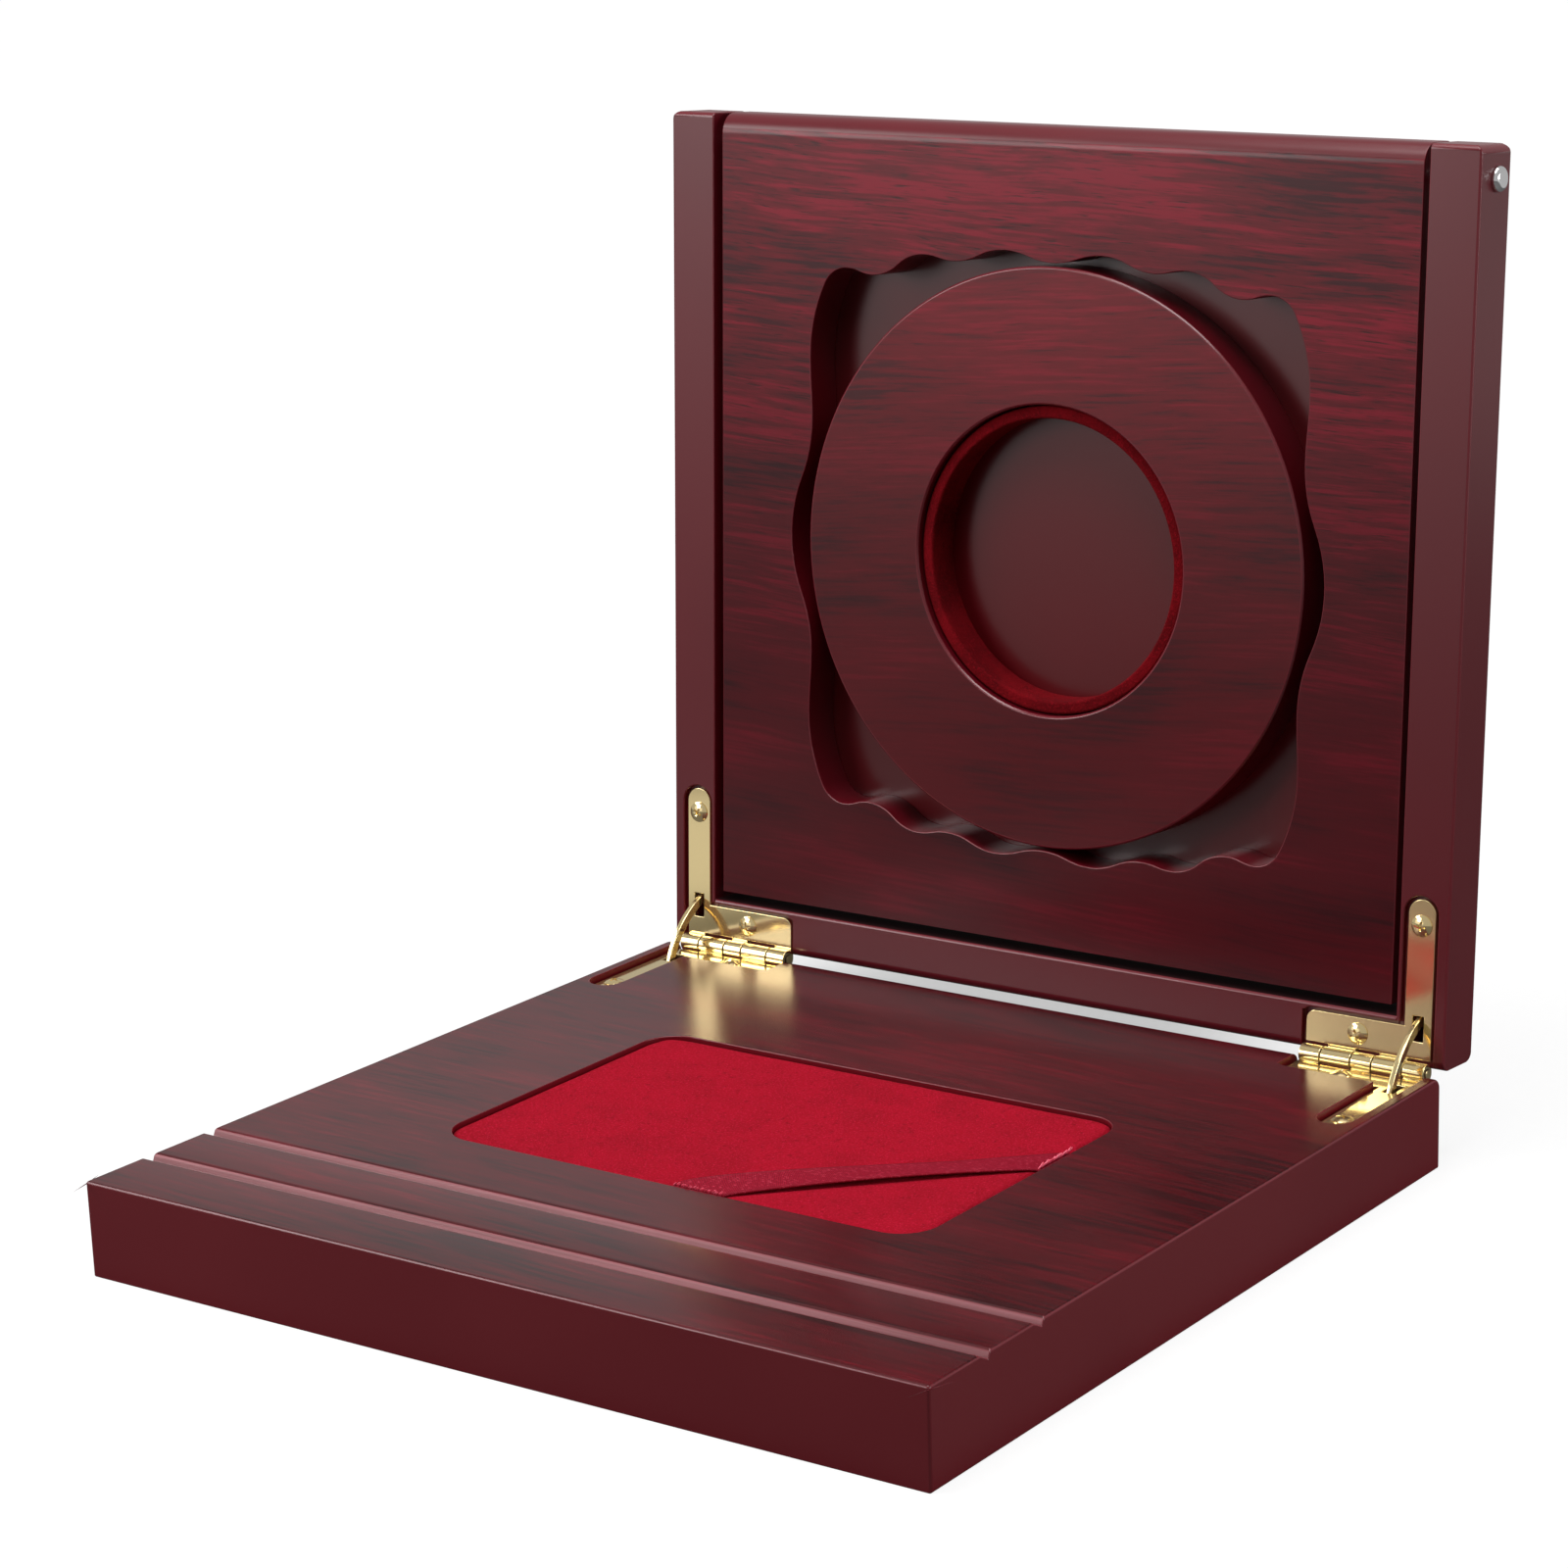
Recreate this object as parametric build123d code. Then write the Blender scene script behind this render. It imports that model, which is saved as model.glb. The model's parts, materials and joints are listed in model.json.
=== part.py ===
from build123d import *
import os
from math import asin, cos, degrees, radians, sin

# Coin display box: a grooved base with a velvet card recess, a U shaped lid frame on two
# quadrant hinges, and a display panel that turns on two pins near the top of the frame.
# Millimetres, +Z up. The origin is the middle of the base's underside, X runs to the right
# and Y to the rear. The lid is modelled open, as it stands on the stops of its stays.

# Overall sizes
width = 200.0
depth = 189.0
base_height = 20.0
lid_thickness = 13.0
open_angle = 93.5
closed_gap = 0.4

# Rounded edges of the lacquered wood
side_round = 0.6
lid_edge_round = 1.2
hinge_edge_round = 2.5
lid_back_round = 2.0
stile_end_round = 2.0

# Easel grooves across the front of the base
groove_start = 15.4
groove_pitch = 17.3
groove_count = 2
groove_ramp = 3.0
groove_depth = 1.6
groove_wall_lean = 0.7
groove_lip_round = 1.2

# Recess for the velvet card, and the ribbon across one of its corners
recess_width = 117.0
recess_length = 76.0
recess_depth = 5.0
recess_corner = 8.0
pad_clearance = 0.9
pad_drop = 0.8
pad_edge_bevel = 0.5
ribbon_width = 8.3
ribbon_thickness = 0.5
ribbon_lift = 0.3
ribbon_front_inset = 51.2
ribbon_angle = 44.0

# Lid frame and the panel inside it
stile_width = 11.4
rail_height = 10.5
rail_edge_round = 0.8
panel_side_gap = 1.7
panel_foot_gap = 2.0
panel_step = 1.0
back_board = 2.5
panel_top_round = 4.5
panel_back_round = 2.0
pin_below_top = 6.8

# Stub tenons that join the rail to the stiles
tenon_length = 2.5
tenon_height = 5.0
tenon_thickness = 4.0
tenon_clearance = 0.1

# Pins that the panel turns on
pin_radius = 1.5
pin_running_clearance = 0.1
pin_shank_depth = 7.0
pin_bore_depth = 8.0
pin_head_radius = 2.65
pin_head_height = 1.5
pin_head_round = 1.1

# Coin ring, its hole and the scalloped opening around it
ring_centre_height = 97.2
ring_radius = 62.8
coin_hole_radius = 33.6
ring_edge_bevel = 0.4
liner_wall = 2.7
liner_clearance = 0.3
liner_drop = 1.5
opening_top_waves = ((0.0, 63.5), (12.2, 65.6), (25.2, 62.6), (32.7, 63.6), (46.4, 58.5), (53.0, 59.7))
opening_corner_radius = 6.5
opening_side_waves = ((62.7, 40.0), (62.1, 26.0), (67.6, 0.0))

# Quadrant hinges
axis_behind = 0.6
axis_below = 0.2
barrel_radius = 2.1
hinge_pin_radius = 1.1
hinge_pin_clearance = 0.05
hinge_pin_overhang = 0.3
hinge_width = 29.4
hinge_side_inset = 3.4
leaf_thickness = 1.0
leaf_short = 9.3
leaf_long = 36.6
leg_width = 6.3
leaf_corner = 2.2
short_knuckle = 5.0
knuckle_gap = 0.3
knuckle_relief = 0.35
mortise_clearance = 0.8

# Screws of the hinges
screw_from_inner_end = 12.3
screw_short_reach = 5.8
screw_long_reach = 31.0
screw_head_radius = 2.35
screw_head_height = 0.8
screw_neck_radius = 1.1
screw_hole_clearance = 0.15
screw_length = 8.0

# Curved stays that stop the lid. An open stay crosses both leaves at the same distance from
# the hinge axis, and the angles of its lugs are counted from there along its own curve.
stay_crossing = 9.4
stay_radius = 22.0
stay_width = 2.0
stay_thickness = 1.2
stay_lug_width = 2.8
stay_lug_start = 8.0
stay_lug_length = 2.0
stay_slot_clearance = 0.25
stay_slot_width = 2.6
stay_pocket_clearance = 0.3

# Places worked out from the sizes above
front_y = -depth / 2
rear_y = depth / 2
side_x = width / 2
lean = radians(open_angle - 90.0)
hinge_y = rear_y + axis_behind
hinge_z = base_height - axis_below
lid_axis_height = -axis_behind
lid_axis_lift = closed_gap + axis_below
stile_inner_x = side_x - stile_width
panel_half = stile_inner_x - panel_side_gap
panel_foot = rail_height + panel_foot_gap
face_board = lid_thickness - panel_step - back_board
panel_middle = panel_step + (lid_thickness - panel_step) / 2
pin_height = depth - pin_below_top
hinge_outer_x = side_x - hinge_side_inset
hinge_inner_x = hinge_outer_x - hinge_width
leg_middle_x = hinge_outer_x - leg_width / 2
half_open = radians(open_angle / 2)
stay_half_chord = stay_crossing * sin(half_open)
stay_set_back = (stay_radius ** 2 - stay_half_chord ** 2) ** 0.5 - stay_crossing * cos(half_open)
stay_lug_angle = degrees(asin(stay_half_chord / stay_radius)) + stay_lug_start
stay_end_angle = stay_lug_angle + stay_lug_length
screw_places = (
    (hinge_inner_x + screw_from_inner_end, screw_short_reach),
    (leg_middle_x, screw_long_reach),
)


def lid_point(height, lift):
    """Place of a point of the lid, given up from its hinge edge and out of its inner face."""
    y = hinge_y + (height - lid_axis_height) * sin(lean) - (lift - lid_axis_lift) * cos(lean)
    z = hinge_z + (height - lid_axis_height) * cos(lean) + (lift - lid_axis_lift) * sin(lean)
    return Vector(0, y, z)


# Frame of the lid: X to the right, Y up the lid, Z out of its inner face
lid_frame = Plane(origin=lid_point(0, 0), x_dir=(1, 0, 0), z_dir=(0, -cos(lean), sin(lean)))


def on_lid(shape):
    """Moves a shape from the lid's frame to its open place."""
    return lid_frame.location * shape


def block(x_range, y_range, z_range):
    """Box between two values along each axis."""
    size = [high - low for low, high in (x_range, y_range, z_range)]
    middle = [(high + low) / 2 for low, high in (x_range, y_range, z_range)]
    return Pos(*middle) * Box(*size)


def long_edge(shape, y, z):
    """The edge along X that lies at the given Y and Z."""
    along = shape.edges().filter_by(Axis.X)
    return min(along, key=lambda edge: abs(edge.center().Y - y) + abs(edge.center().Z - z))


def rounded_board(x_range, y_range, z_range, rounds):
    """Box whose long edges, given by their Y and Z, are rounded to a radius each."""
    board = block(x_range, y_range, z_range)
    for (y, z), radius in rounds.items():
        board = fillet(long_edge(board, y, z), radius)
    return board


def soften_end(board, end):
    """Rounds the edges of a board's first or last face along X."""
    face = board.faces().filter_by(Axis.X).sort_by(Axis.X)[end]
    return fillet(face.edges(), side_round)


def dome_radius(rim, height):
    """Radius of the sphere that a dome of this rim radius and height is cut from."""
    return (rim ** 2 + height ** 2) / (2 * height)


def both_sides(shape):
    """A shape and its mirror image on the other side of the box."""
    return [shape, mirror(shape, about=Plane.YZ)]


def save(name, shape):
    """Writes one sub-part."""
    solids = shape if isinstance(shape, list) else shape.solids()
    part = solids[0] if len(solids) == 1 else Compound(children=list(solids))
    export_step(part, os.path.join("parts", name + ".step"))


def leaf_outline(clearance=0.0):
    """L shaped outline of a hinge leaf: X along the barrel, Y away from it."""
    low = hinge_inner_x - clearance
    high = hinge_outer_x + clearance
    leg_low = high - leg_width - 2 * clearance
    short = leaf_short + clearance
    plate = Pos((low + high) / 2, short / 2) * Rectangle(high - low, short)
    corner = plate.vertices().sort_by(Axis.Y)[-2:].sort_by(Axis.X)[0]
    plate = fillet(corner, leaf_corner)
    straight = leaf_long - leg_width / 2
    leg = Pos((leg_low + high) / 2, straight / 2) * Rectangle(high - leg_low, straight)
    leg += Pos((leg_low + high) / 2, straight) * Circle((high - leg_low) / 2)
    return plate + leg


def knuckle_spans(long_ones):
    """Stretches of the barrel that belong to one leaf: two long knuckles or three short."""
    long_knuckle = (hinge_outer_x - hinge_inner_x - 3 * short_knuckle) / 2
    spans = []
    start = hinge_inner_x
    for index in range(5):
        length = long_knuckle if index % 2 else short_knuckle
        if (index % 2 == 1) == long_ones:
            spans.append((start, start + length))
        start += length
    return spans


def hinge_leaf(long_ones):
    """Leaf on the hinge axis: X along it, Y away from it, and Z towards the other leaf."""
    floor = -barrel_radius
    leaf = Pos(0, 0, floor) * extrude(leaf_outline(), leaf_thickness)
    for start, end in knuckle_spans(not long_ones):
        reach = barrel_radius + knuckle_relief
        leaf -= block((start - knuckle_gap, end + knuckle_gap), (-reach, reach), (-reach, reach))
    turn = Plane(origin=(0, 0, 0), x_dir=(0, 1, 0), z_dir=(1, 0, 0))
    for start, end in knuckle_spans(long_ones):
        first = start + (knuckle_gap / 2 if start > hinge_inner_x else 0)
        last = end - (knuckle_gap / 2 if end < hinge_outer_x else 0)
        knuckle = extrude(turn * Circle(barrel_radius), last - first)
        leaf += Pos(first, 0, 0) * knuckle
    bore_radius = hinge_pin_radius + (hinge_pin_clearance if long_ones else 0)
    bore = extrude(turn * Circle(bore_radius), hinge_outer_x - hinge_inner_x)
    leaf -= Pos(hinge_inner_x, 0, 0) * bore
    for x, reach in screw_places:
        hole = Cylinder(screw_neck_radius + screw_hole_clearance, leaf_thickness)
        leaf -= Pos(x, reach, floor + leaf_thickness / 2) * hole
    slot_low = stay_reach(-stay_width / 2, 0) - stay_slot_clearance
    slot_high = stay_reach(stay_width / 2, half_open) + stay_slot_clearance
    slot_x = (leg_middle_x - stay_slot_width / 2, leg_middle_x + stay_slot_width / 2)
    leaf -= block(slot_x, (slot_low, slot_high), (floor - 1, 0))
    return leaf


def stay_reach(edge, turned):
    """Distance along a leaf at which a stay's edge passes its underside.

    The edge is given from the middle of the stay's width, and the angle turned is the one
    between the leaf and the middle of the stay.
    """
    sunk = barrel_radius - stay_set_back * sin(turned)
    return ((stay_radius + edge) ** 2 - sunk ** 2) ** 0.5 - stay_set_back * cos(turned)


def mortise(depth_of_leaf):
    """Cutter for a leaf's mortise and the stay's pocket under it, on the hinge axis."""
    outline = leaf_outline(mortise_clearance)
    cutter = Pos(0, 0, -barrel_radius) * extrude(outline, barrel_radius + depth_of_leaf)
    low = hinge_inner_x - mortise_clearance
    high = hinge_outer_x + mortise_clearance
    top = depth_of_leaf
    cutter += block((low, high), (-2 * barrel_radius, leaf_short), (-barrel_radius, top))
    last_angle = radians(stay_end_angle)
    lug_outer = stay_radius + stay_lug_width / 2
    lug_inner = stay_radius - stay_lug_width / 2
    closed_y = lug_inner * cos(last_angle) - stay_set_back
    open_y = lug_outer * cos(half_open - last_angle) - stay_set_back * cos(half_open)
    pocket_y = (closed_y - stay_pocket_clearance, open_y + stay_pocket_clearance)
    pocket_z = (-lug_outer * sin(last_angle) - stay_pocket_clearance, 0)
    half = stay_slot_width / 2
    return cutter + block((leg_middle_x - half, leg_middle_x + half), pocket_y, pocket_z)


def hinge_screws():
    """Two raised head screws of a leaf, on the hinge axis. Their threads bite the wood."""
    top = leaf_thickness - barrel_radius
    screws = []
    for x, reach in screw_places:
        with BuildPart() as screw:
            with BuildSketch(Plane.XZ):
                with BuildLine():
                    Polyline(
                        (0, top + screw_head_height),
                        (0, top - screw_length),
                        (screw_neck_radius, top - screw_length),
                        (screw_neck_radius, top),
                        (screw_head_radius, top),
                    )
                    RadiusArc(
                        (screw_head_radius, top),
                        (0, top + screw_head_height),
                        -dome_radius(screw_head_radius, screw_head_height),
                    )
                make_face()
            revolve(axis=Axis.Z)
        screws.append(Pos(x, reach, 0) * screw.part)
    return screws


def stay():
    """Curved stay on the hinge axis, from the base leaf to the open lid leaf."""
    def place(radius, angle):
        """Point at an angle from the middle of the stay, about the centre of its curve."""
        return (radius * cos(radians(angle)) - stay_set_back, radius * sin(radians(angle)))

    def sector(wide, first, last):
        """Stretch of the stay between two angles."""
        inner = stay_radius - wide / 2
        outer = stay_radius + wide / 2
        middle = (first + last) / 2
        with BuildSketch() as flat:
            with BuildLine():
                Line(place(inner, first), place(outer, first))
                ThreePointArc(place(outer, first), place(outer, middle), place(outer, last))
                Line(place(outer, last), place(inner, last))
                ThreePointArc(place(inner, last), place(inner, middle), place(inner, first))
            make_face()
        return flat.sketch

    flat = sector(stay_width, -stay_end_angle, stay_end_angle)
    flat += sector(stay_lug_width, -stay_end_angle, -stay_lug_angle)
    flat += sector(stay_lug_width, stay_lug_angle, stay_end_angle)
    upright = Plane(origin=(0, 0, 0), x_dir=(0, -1, 0), z_dir=(-1, 0, 0))
    arm = extrude(upright * Rot(0, 0, open_angle / 2) * flat, stay_thickness / 2, both=True)
    return Pos(leg_middle_x, hinge_y, hinge_z) * arm


def to_base(shape):
    """Puts a right hand piece on the hinge axis, lying on the base."""
    return Pos(0, hinge_y, hinge_z) * mirror(shape, about=Plane.XZ)


def to_lid(shape):
    """Puts a right hand piece on the hinge axis, lying on the lid."""
    return on_lid(Pos(0, lid_axis_height, lid_axis_lift) * shape)


def groove_cutter(start):
    """Cutter for one easel groove: a ramp down to the rear and a leaning wall, soft lipped."""
    bottom_y = start + groove_ramp
    lip_y = bottom_y + groove_wall_lean
    above = base_height + groove_depth
    outline = Polyline(
        (start, base_height),
        (bottom_y, base_height - groove_depth),
        (lip_y, base_height),
        (lip_y + groove_ramp, base_height),
        (lip_y + groove_ramp, above),
        (start, above),
        close=True,
    )
    profile = make_face(outline)
    lip = min(profile.vertices(), key=lambda v: abs(v.X - lip_y) + abs(v.Y - base_height))
    profile = fillet(lip, groove_lip_round)
    return extrude(Plane.YZ * profile, side_x + 1, both=True)


def base_block():
    """Base slab with grooves, card recess and hinge mortises."""
    rounds = {
        (front_y, base_height): side_round,
        (rear_y, base_height): hinge_edge_round,
    }
    slab = rounded_board((-side_x, side_x), (front_y, rear_y), (0, base_height), rounds)
    slab = soften_end(soften_end(slab, 0), -1)
    for index in range(groove_count):
        slab -= groove_cutter(front_y + groove_start + index * groove_pitch)
    recess = RectangleRounded(recess_width, recess_length, recess_corner)
    slab -= Pos(0, 0, base_height - recess_depth) * extrude(recess, recess_depth)
    for cutter in both_sides(to_base(mortise(axis_below + 1))):
        slab -= cutter
    return slab


def velvet_pad():
    """Velvet covered card that lies in the recess."""
    outline = RectangleRounded(
        recess_width - 2 * pad_clearance,
        recess_length - 2 * pad_clearance,
        recess_corner - pad_clearance,
    )
    pad = extrude(outline, recess_depth - pad_drop)
    pad = chamfer(pad.faces().sort_by(Axis.Z)[-1].edges(), pad_edge_bevel)
    return Pos(0, 0, base_height - recess_depth) * pad


def ribbon_strap():
    """Ribbon over the pad's front right corner, its ends tucked down beside the pad."""
    front_end_x = recess_width / 2 - pad_clearance - ribbon_front_inset
    pad_x = recess_width / 2 - pad_clearance
    pad_y = -recess_length / 2 + pad_clearance
    floor = base_height - recess_depth
    under = base_height - pad_drop + ribbon_lift
    top = under + ribbon_thickness
    half_front = ribbon_width / (2 * sin(radians(ribbon_angle)))
    half_side = ribbon_width / (2 * cos(radians(ribbon_angle)))
    slope = sin(radians(ribbon_angle)) / cos(radians(ribbon_angle))
    out_x = pad_x + ribbon_thickness
    out_y = pad_y - ribbon_thickness
    side_y = out_y + (out_x - front_end_x) * slope
    with BuildSketch(Plane.XY.offset(under)) as flat:
        with BuildLine():
            Polyline(
                (front_end_x - half_front, out_y),
                (front_end_x + half_front, out_y),
                (out_x, side_y - half_side),
                (out_x, side_y + half_side),
                close=True,
            )
        make_face()
    strap = extrude(flat.sketch, ribbon_thickness)
    front_x = (front_end_x - half_front, front_end_x + half_front)
    strap += block(front_x, (out_y, pad_y), (floor, top))
    strap += block((pad_x, out_x), (side_y - half_side, side_y + half_side), (floor, top))
    return strap


def tenon(clearance=0.0):
    """Right stub tenon of the rail, or the cutter for its mortise, in the lid's frame."""
    half_height = tenon_height / 2 + clearance
    half_thickness = tenon_thickness / 2 + clearance
    middle_y = rail_height / 2
    middle_z = -lid_thickness / 2
    return block(
        (stile_inner_x, stile_inner_x + tenon_length + clearance),
        (middle_y - half_height, middle_y + half_height),
        (middle_z - half_thickness, middle_z + half_thickness),
    )


def lid_stile():
    """Right stile of the lid frame, in the lid's frame."""
    rounds = {
        (0, 0): hinge_edge_round,
        (0, -lid_thickness): hinge_edge_round,
        (depth, 0): lid_edge_round,
        (depth, -lid_thickness): lid_back_round,
    }
    stile = rounded_board((stile_inner_x, side_x), (0, depth), (-lid_thickness, 0), rounds)
    section = block((stile_inner_x, side_x), (0, depth), (-lid_thickness, 0))
    section = fillet(section.faces().filter_by(Axis.X)[-1].edges().filter_by(Axis.Y), side_round)
    end = block((stile_inner_x, side_x), (0, depth), (-lid_thickness, 0))
    corner = end.edges().filter_by(Axis.Z).group_by(Axis.X)[-1].sort_by(Axis.Y)[-1]
    end = fillet(corner, stile_end_round)
    stile = (stile & section & end) - tenon(tenon_clearance)
    stile -= Pos(0, lid_axis_height, lid_axis_lift) * mortise(1)
    pin_hole = Rot(0, 90, 0) * Cylinder(pin_radius, 3 * stile_width)
    stile -= Pos(side_x, pin_height, -panel_middle) * pin_hole
    return stile


def bottom_rail():
    """Rail between the stiles at the hinge edge, in the lid's frame."""
    rounds = {
        (0, 0): hinge_edge_round,
        (0, -lid_thickness): hinge_edge_round,
        (rail_height, 0): rail_edge_round,
    }
    rail_x = (-stile_inner_x, stile_inner_x)
    rail = rounded_board(rail_x, (0, rail_height), (-lid_thickness, 0), rounds)
    for cutter in both_sides(mortise(1)):
        rail -= Pos(0, lid_axis_height, lid_axis_lift) * cutter
    for piece in both_sides(tenon()):
        rail += piece
    return rail


def wave(points, heading):
    """Smooth wave through its crests and dips: two equal arcs between each pair."""
    for start, end in zip(points, points[1:]):
        middle = ((start[0] + end[0]) / 2, (start[1] + end[1]) / 2)
        first = TangentArc(start, middle, tangent=heading)
        TangentArc(middle, end, tangent=first % 1)


def opening_outline():
    """Scalloped outline around the coin ring, centred on it: one quadrant, mirrored."""
    crest = opening_top_waves[-1]
    side = opening_side_waves[0]
    run = side[0] - crest[0]
    drop = crest[1] - side[1]
    radius = opening_corner_radius
    wide_radius = (run ** 2 + drop ** 2 - 2 * drop * radius) / (2 * (run - radius))
    rise = (drop - radius) / (wide_radius - radius)
    meeting = (
        side[0] - wide_radius + wide_radius * (1 - rise ** 2) ** 0.5,
        side[1] + wide_radius * rise,
    )
    with BuildSketch() as outline:
        with BuildLine():
            wave(opening_top_waves, (1, 0))
            corner = TangentArc(crest, meeting, tangent=(1, 0))
            TangentArc(meeting, side, tangent=corner % 1)
            wave(opening_side_waves, (0, -1))
            Polyline(opening_side_waves[-1], (0, 0), opening_top_waves[0])
        make_face()
        mirror(about=Plane.YZ)
        mirror(about=Plane.XZ)
    return outline.sketch


def pin_bores():
    """Running bores of the two pins in the panel, in the lid's frame."""
    bore = Rot(0, 90, 0) * Cylinder(pin_radius + pin_running_clearance, 2 * pin_bore_depth)
    bores = [Pos(side * panel_half, pin_height, -panel_middle) * bore for side in (-1, 1)]
    return bores[0] + bores[1]


def panel_face_board():
    """Face board of the display panel with its scalloped opening, in the lid's frame."""
    high = -panel_step
    rounds = {(depth, high): panel_top_round}
    board_x = (-panel_half, panel_half)
    board = rounded_board(board_x, (panel_foot, depth), (high - face_board, high), rounds)
    cutter = extrude(opening_outline(), -face_board)
    board -= Pos(0, ring_centre_height, high) * cutter
    return board - pin_bores()


def panel_back_board():
    """Thin board behind the face board, in the lid's frame."""
    low = -lid_thickness
    rounds = {(depth, low): panel_back_round}
    board_x = (-panel_half, panel_half)
    return rounded_board(board_x, (panel_foot, depth), (low, low + back_board), rounds)


def coin_ring():
    """Round island with the coin hole, in the lid's frame."""
    ring = Cylinder(ring_radius, face_board) - Cylinder(coin_hole_radius, face_board)
    ring = chamfer(ring.faces().sort_by(Axis.Z)[-1].edges(), ring_edge_bevel)
    return Pos(0, ring_centre_height, -panel_step - face_board / 2) * ring


def coin_seat_liner():
    """Velvet covered ring inside the coin hole, in the lid's frame."""
    outer = coin_hole_radius - liner_clearance
    height = face_board - liner_drop
    liner = Cylinder(outer, height) - Cylinder(outer - liner_wall, height)
    return Pos(0, ring_centre_height, -panel_step - liner_drop - height / 2) * liner


def pivot_pin():
    """Right pin with a button head, in the lid's frame."""
    shank_end = panel_half - pin_shank_depth
    head_end = side_x + pin_head_height
    with BuildPart() as pin:
        with BuildSketch(Plane.XY):
            with BuildLine():
                Polyline(
                    (head_end, pin_head_radius - pin_head_round),
                    (head_end, 0),
                    (shank_end, 0),
                    (shank_end, pin_radius),
                    (side_x, pin_radius),
                    (side_x, pin_head_radius),
                    (head_end - pin_head_round, pin_head_radius),
                )
                RadiusArc(
                    (head_end - pin_head_round, pin_head_radius),
                    (head_end, pin_head_radius - pin_head_round),
                    pin_head_round,
                )
            make_face()
        revolve(axis=Axis.X)
    return Pos(0, pin_height, -panel_middle) * pin.part


def hinge_pin():
    """Headless hinge pin, on the hinge axis."""
    pin = Rot(0, 90, 0) * Cylinder(hinge_pin_radius, hinge_width + 2 * hinge_pin_overhang)
    return Pos((hinge_outer_x + hinge_inner_x) / 2, 0, 0) * pin


os.makedirs("parts", exist_ok=True)

save("base_block", base_block())
save("velvet_pad", velvet_pad())
save("ribbon_strap", ribbon_strap())

right_stile = lid_stile()
save("lid_right_stile", on_lid(right_stile))
save("lid_left_stile", on_lid(mirror(right_stile, about=Plane.YZ)))
save("lid_bottom_rail", on_lid(bottom_rail()))

save("panel_face_board", on_lid(panel_face_board()))
save("panel_back_board", on_lid(panel_back_board()))
save("coin_ring", on_lid(coin_ring()))
save("coin_seat_liner", on_lid(coin_seat_liner()))
save("pivot_pin_right", on_lid(pivot_pin()))
save("pivot_pin_left", on_lid(mirror(pivot_pin(), about=Plane.YZ)))

# One hinge serves both sides, turned over: its three-knuckle leaf is on the base at the
# right and on the lid at the left
short_leaf = hinge_leaf(long_ones=False)
long_leaf = hinge_leaf(long_ones=True)
save("hinge_right_base_leaf", to_base(short_leaf))
save("hinge_right_lid_leaf", to_lid(long_leaf))
save("hinge_left_base_leaf", mirror(to_base(long_leaf), about=Plane.YZ))
save("hinge_left_lid_leaf", mirror(to_lid(short_leaf), about=Plane.YZ))
save("hinge_right_pin", to_base(hinge_pin()))
save("hinge_left_pin", mirror(to_lid(hinge_pin()), about=Plane.YZ))
save("hinge_right_stay", stay())
save("hinge_left_stay", mirror(stay(), about=Plane.YZ))

base_screws = [to_base(screw) for screw in hinge_screws()]
save("base_hinge_screws", [s for screw in base_screws for s in both_sides(screw)])
lid_screws = [to_lid(screw) for screw in hinge_screws()]
save("lid_hinge_screws", [s for screw in lid_screws for s in both_sides(screw)])
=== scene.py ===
"""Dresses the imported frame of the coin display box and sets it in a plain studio.

Sizes are in millimetres and become metres where they reach Blender.
"""

import json
import logging
from collections.abc import Callable
from dataclasses import dataclass
from enum import Enum
from math import copysign, cos, pi, radians, sin, sqrt, tan

import bmesh
import bpy
from mathutils import Euler, Matrix, Vector, noise

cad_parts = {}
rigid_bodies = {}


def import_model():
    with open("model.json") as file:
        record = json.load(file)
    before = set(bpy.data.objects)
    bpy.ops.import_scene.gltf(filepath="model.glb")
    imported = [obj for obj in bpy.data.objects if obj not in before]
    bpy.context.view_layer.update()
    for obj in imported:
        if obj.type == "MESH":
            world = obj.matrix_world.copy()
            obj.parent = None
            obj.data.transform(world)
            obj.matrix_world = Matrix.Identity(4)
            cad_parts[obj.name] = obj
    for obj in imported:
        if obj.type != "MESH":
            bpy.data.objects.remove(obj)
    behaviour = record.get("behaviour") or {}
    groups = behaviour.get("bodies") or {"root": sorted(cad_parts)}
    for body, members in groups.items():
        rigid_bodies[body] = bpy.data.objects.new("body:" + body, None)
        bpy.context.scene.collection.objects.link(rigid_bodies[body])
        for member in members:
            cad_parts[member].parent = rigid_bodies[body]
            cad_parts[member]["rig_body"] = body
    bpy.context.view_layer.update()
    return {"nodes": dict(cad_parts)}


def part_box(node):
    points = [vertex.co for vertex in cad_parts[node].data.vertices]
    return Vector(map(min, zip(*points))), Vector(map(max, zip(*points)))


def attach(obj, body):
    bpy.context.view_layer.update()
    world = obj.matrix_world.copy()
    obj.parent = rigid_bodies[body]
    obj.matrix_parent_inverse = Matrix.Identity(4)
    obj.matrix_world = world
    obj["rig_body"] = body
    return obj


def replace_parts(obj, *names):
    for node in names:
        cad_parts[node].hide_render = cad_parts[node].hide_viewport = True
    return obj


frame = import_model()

MM = 0.001
LOG = logging.getLogger("coin_display_box")

Pair = tuple[float, float]
Triple = tuple[float, float, float]
Socket = bpy.types.NodeSocket
Value = float | str | tuple[float, ...] | Socket
Piece = bpy.types.Object
Work = bmesh.types.BMesh
Face = bmesh.types.BMFace
PlaceOf = Callable[[Face], int]


class Body(Enum):
    """Bodies of the box that move against each other."""

    BASE = "base"
    LID = "lid"
    PANEL = "panel"
    LEFT_STAY = "left_stay"
    RIGHT_STAY = "right_stay"


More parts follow.
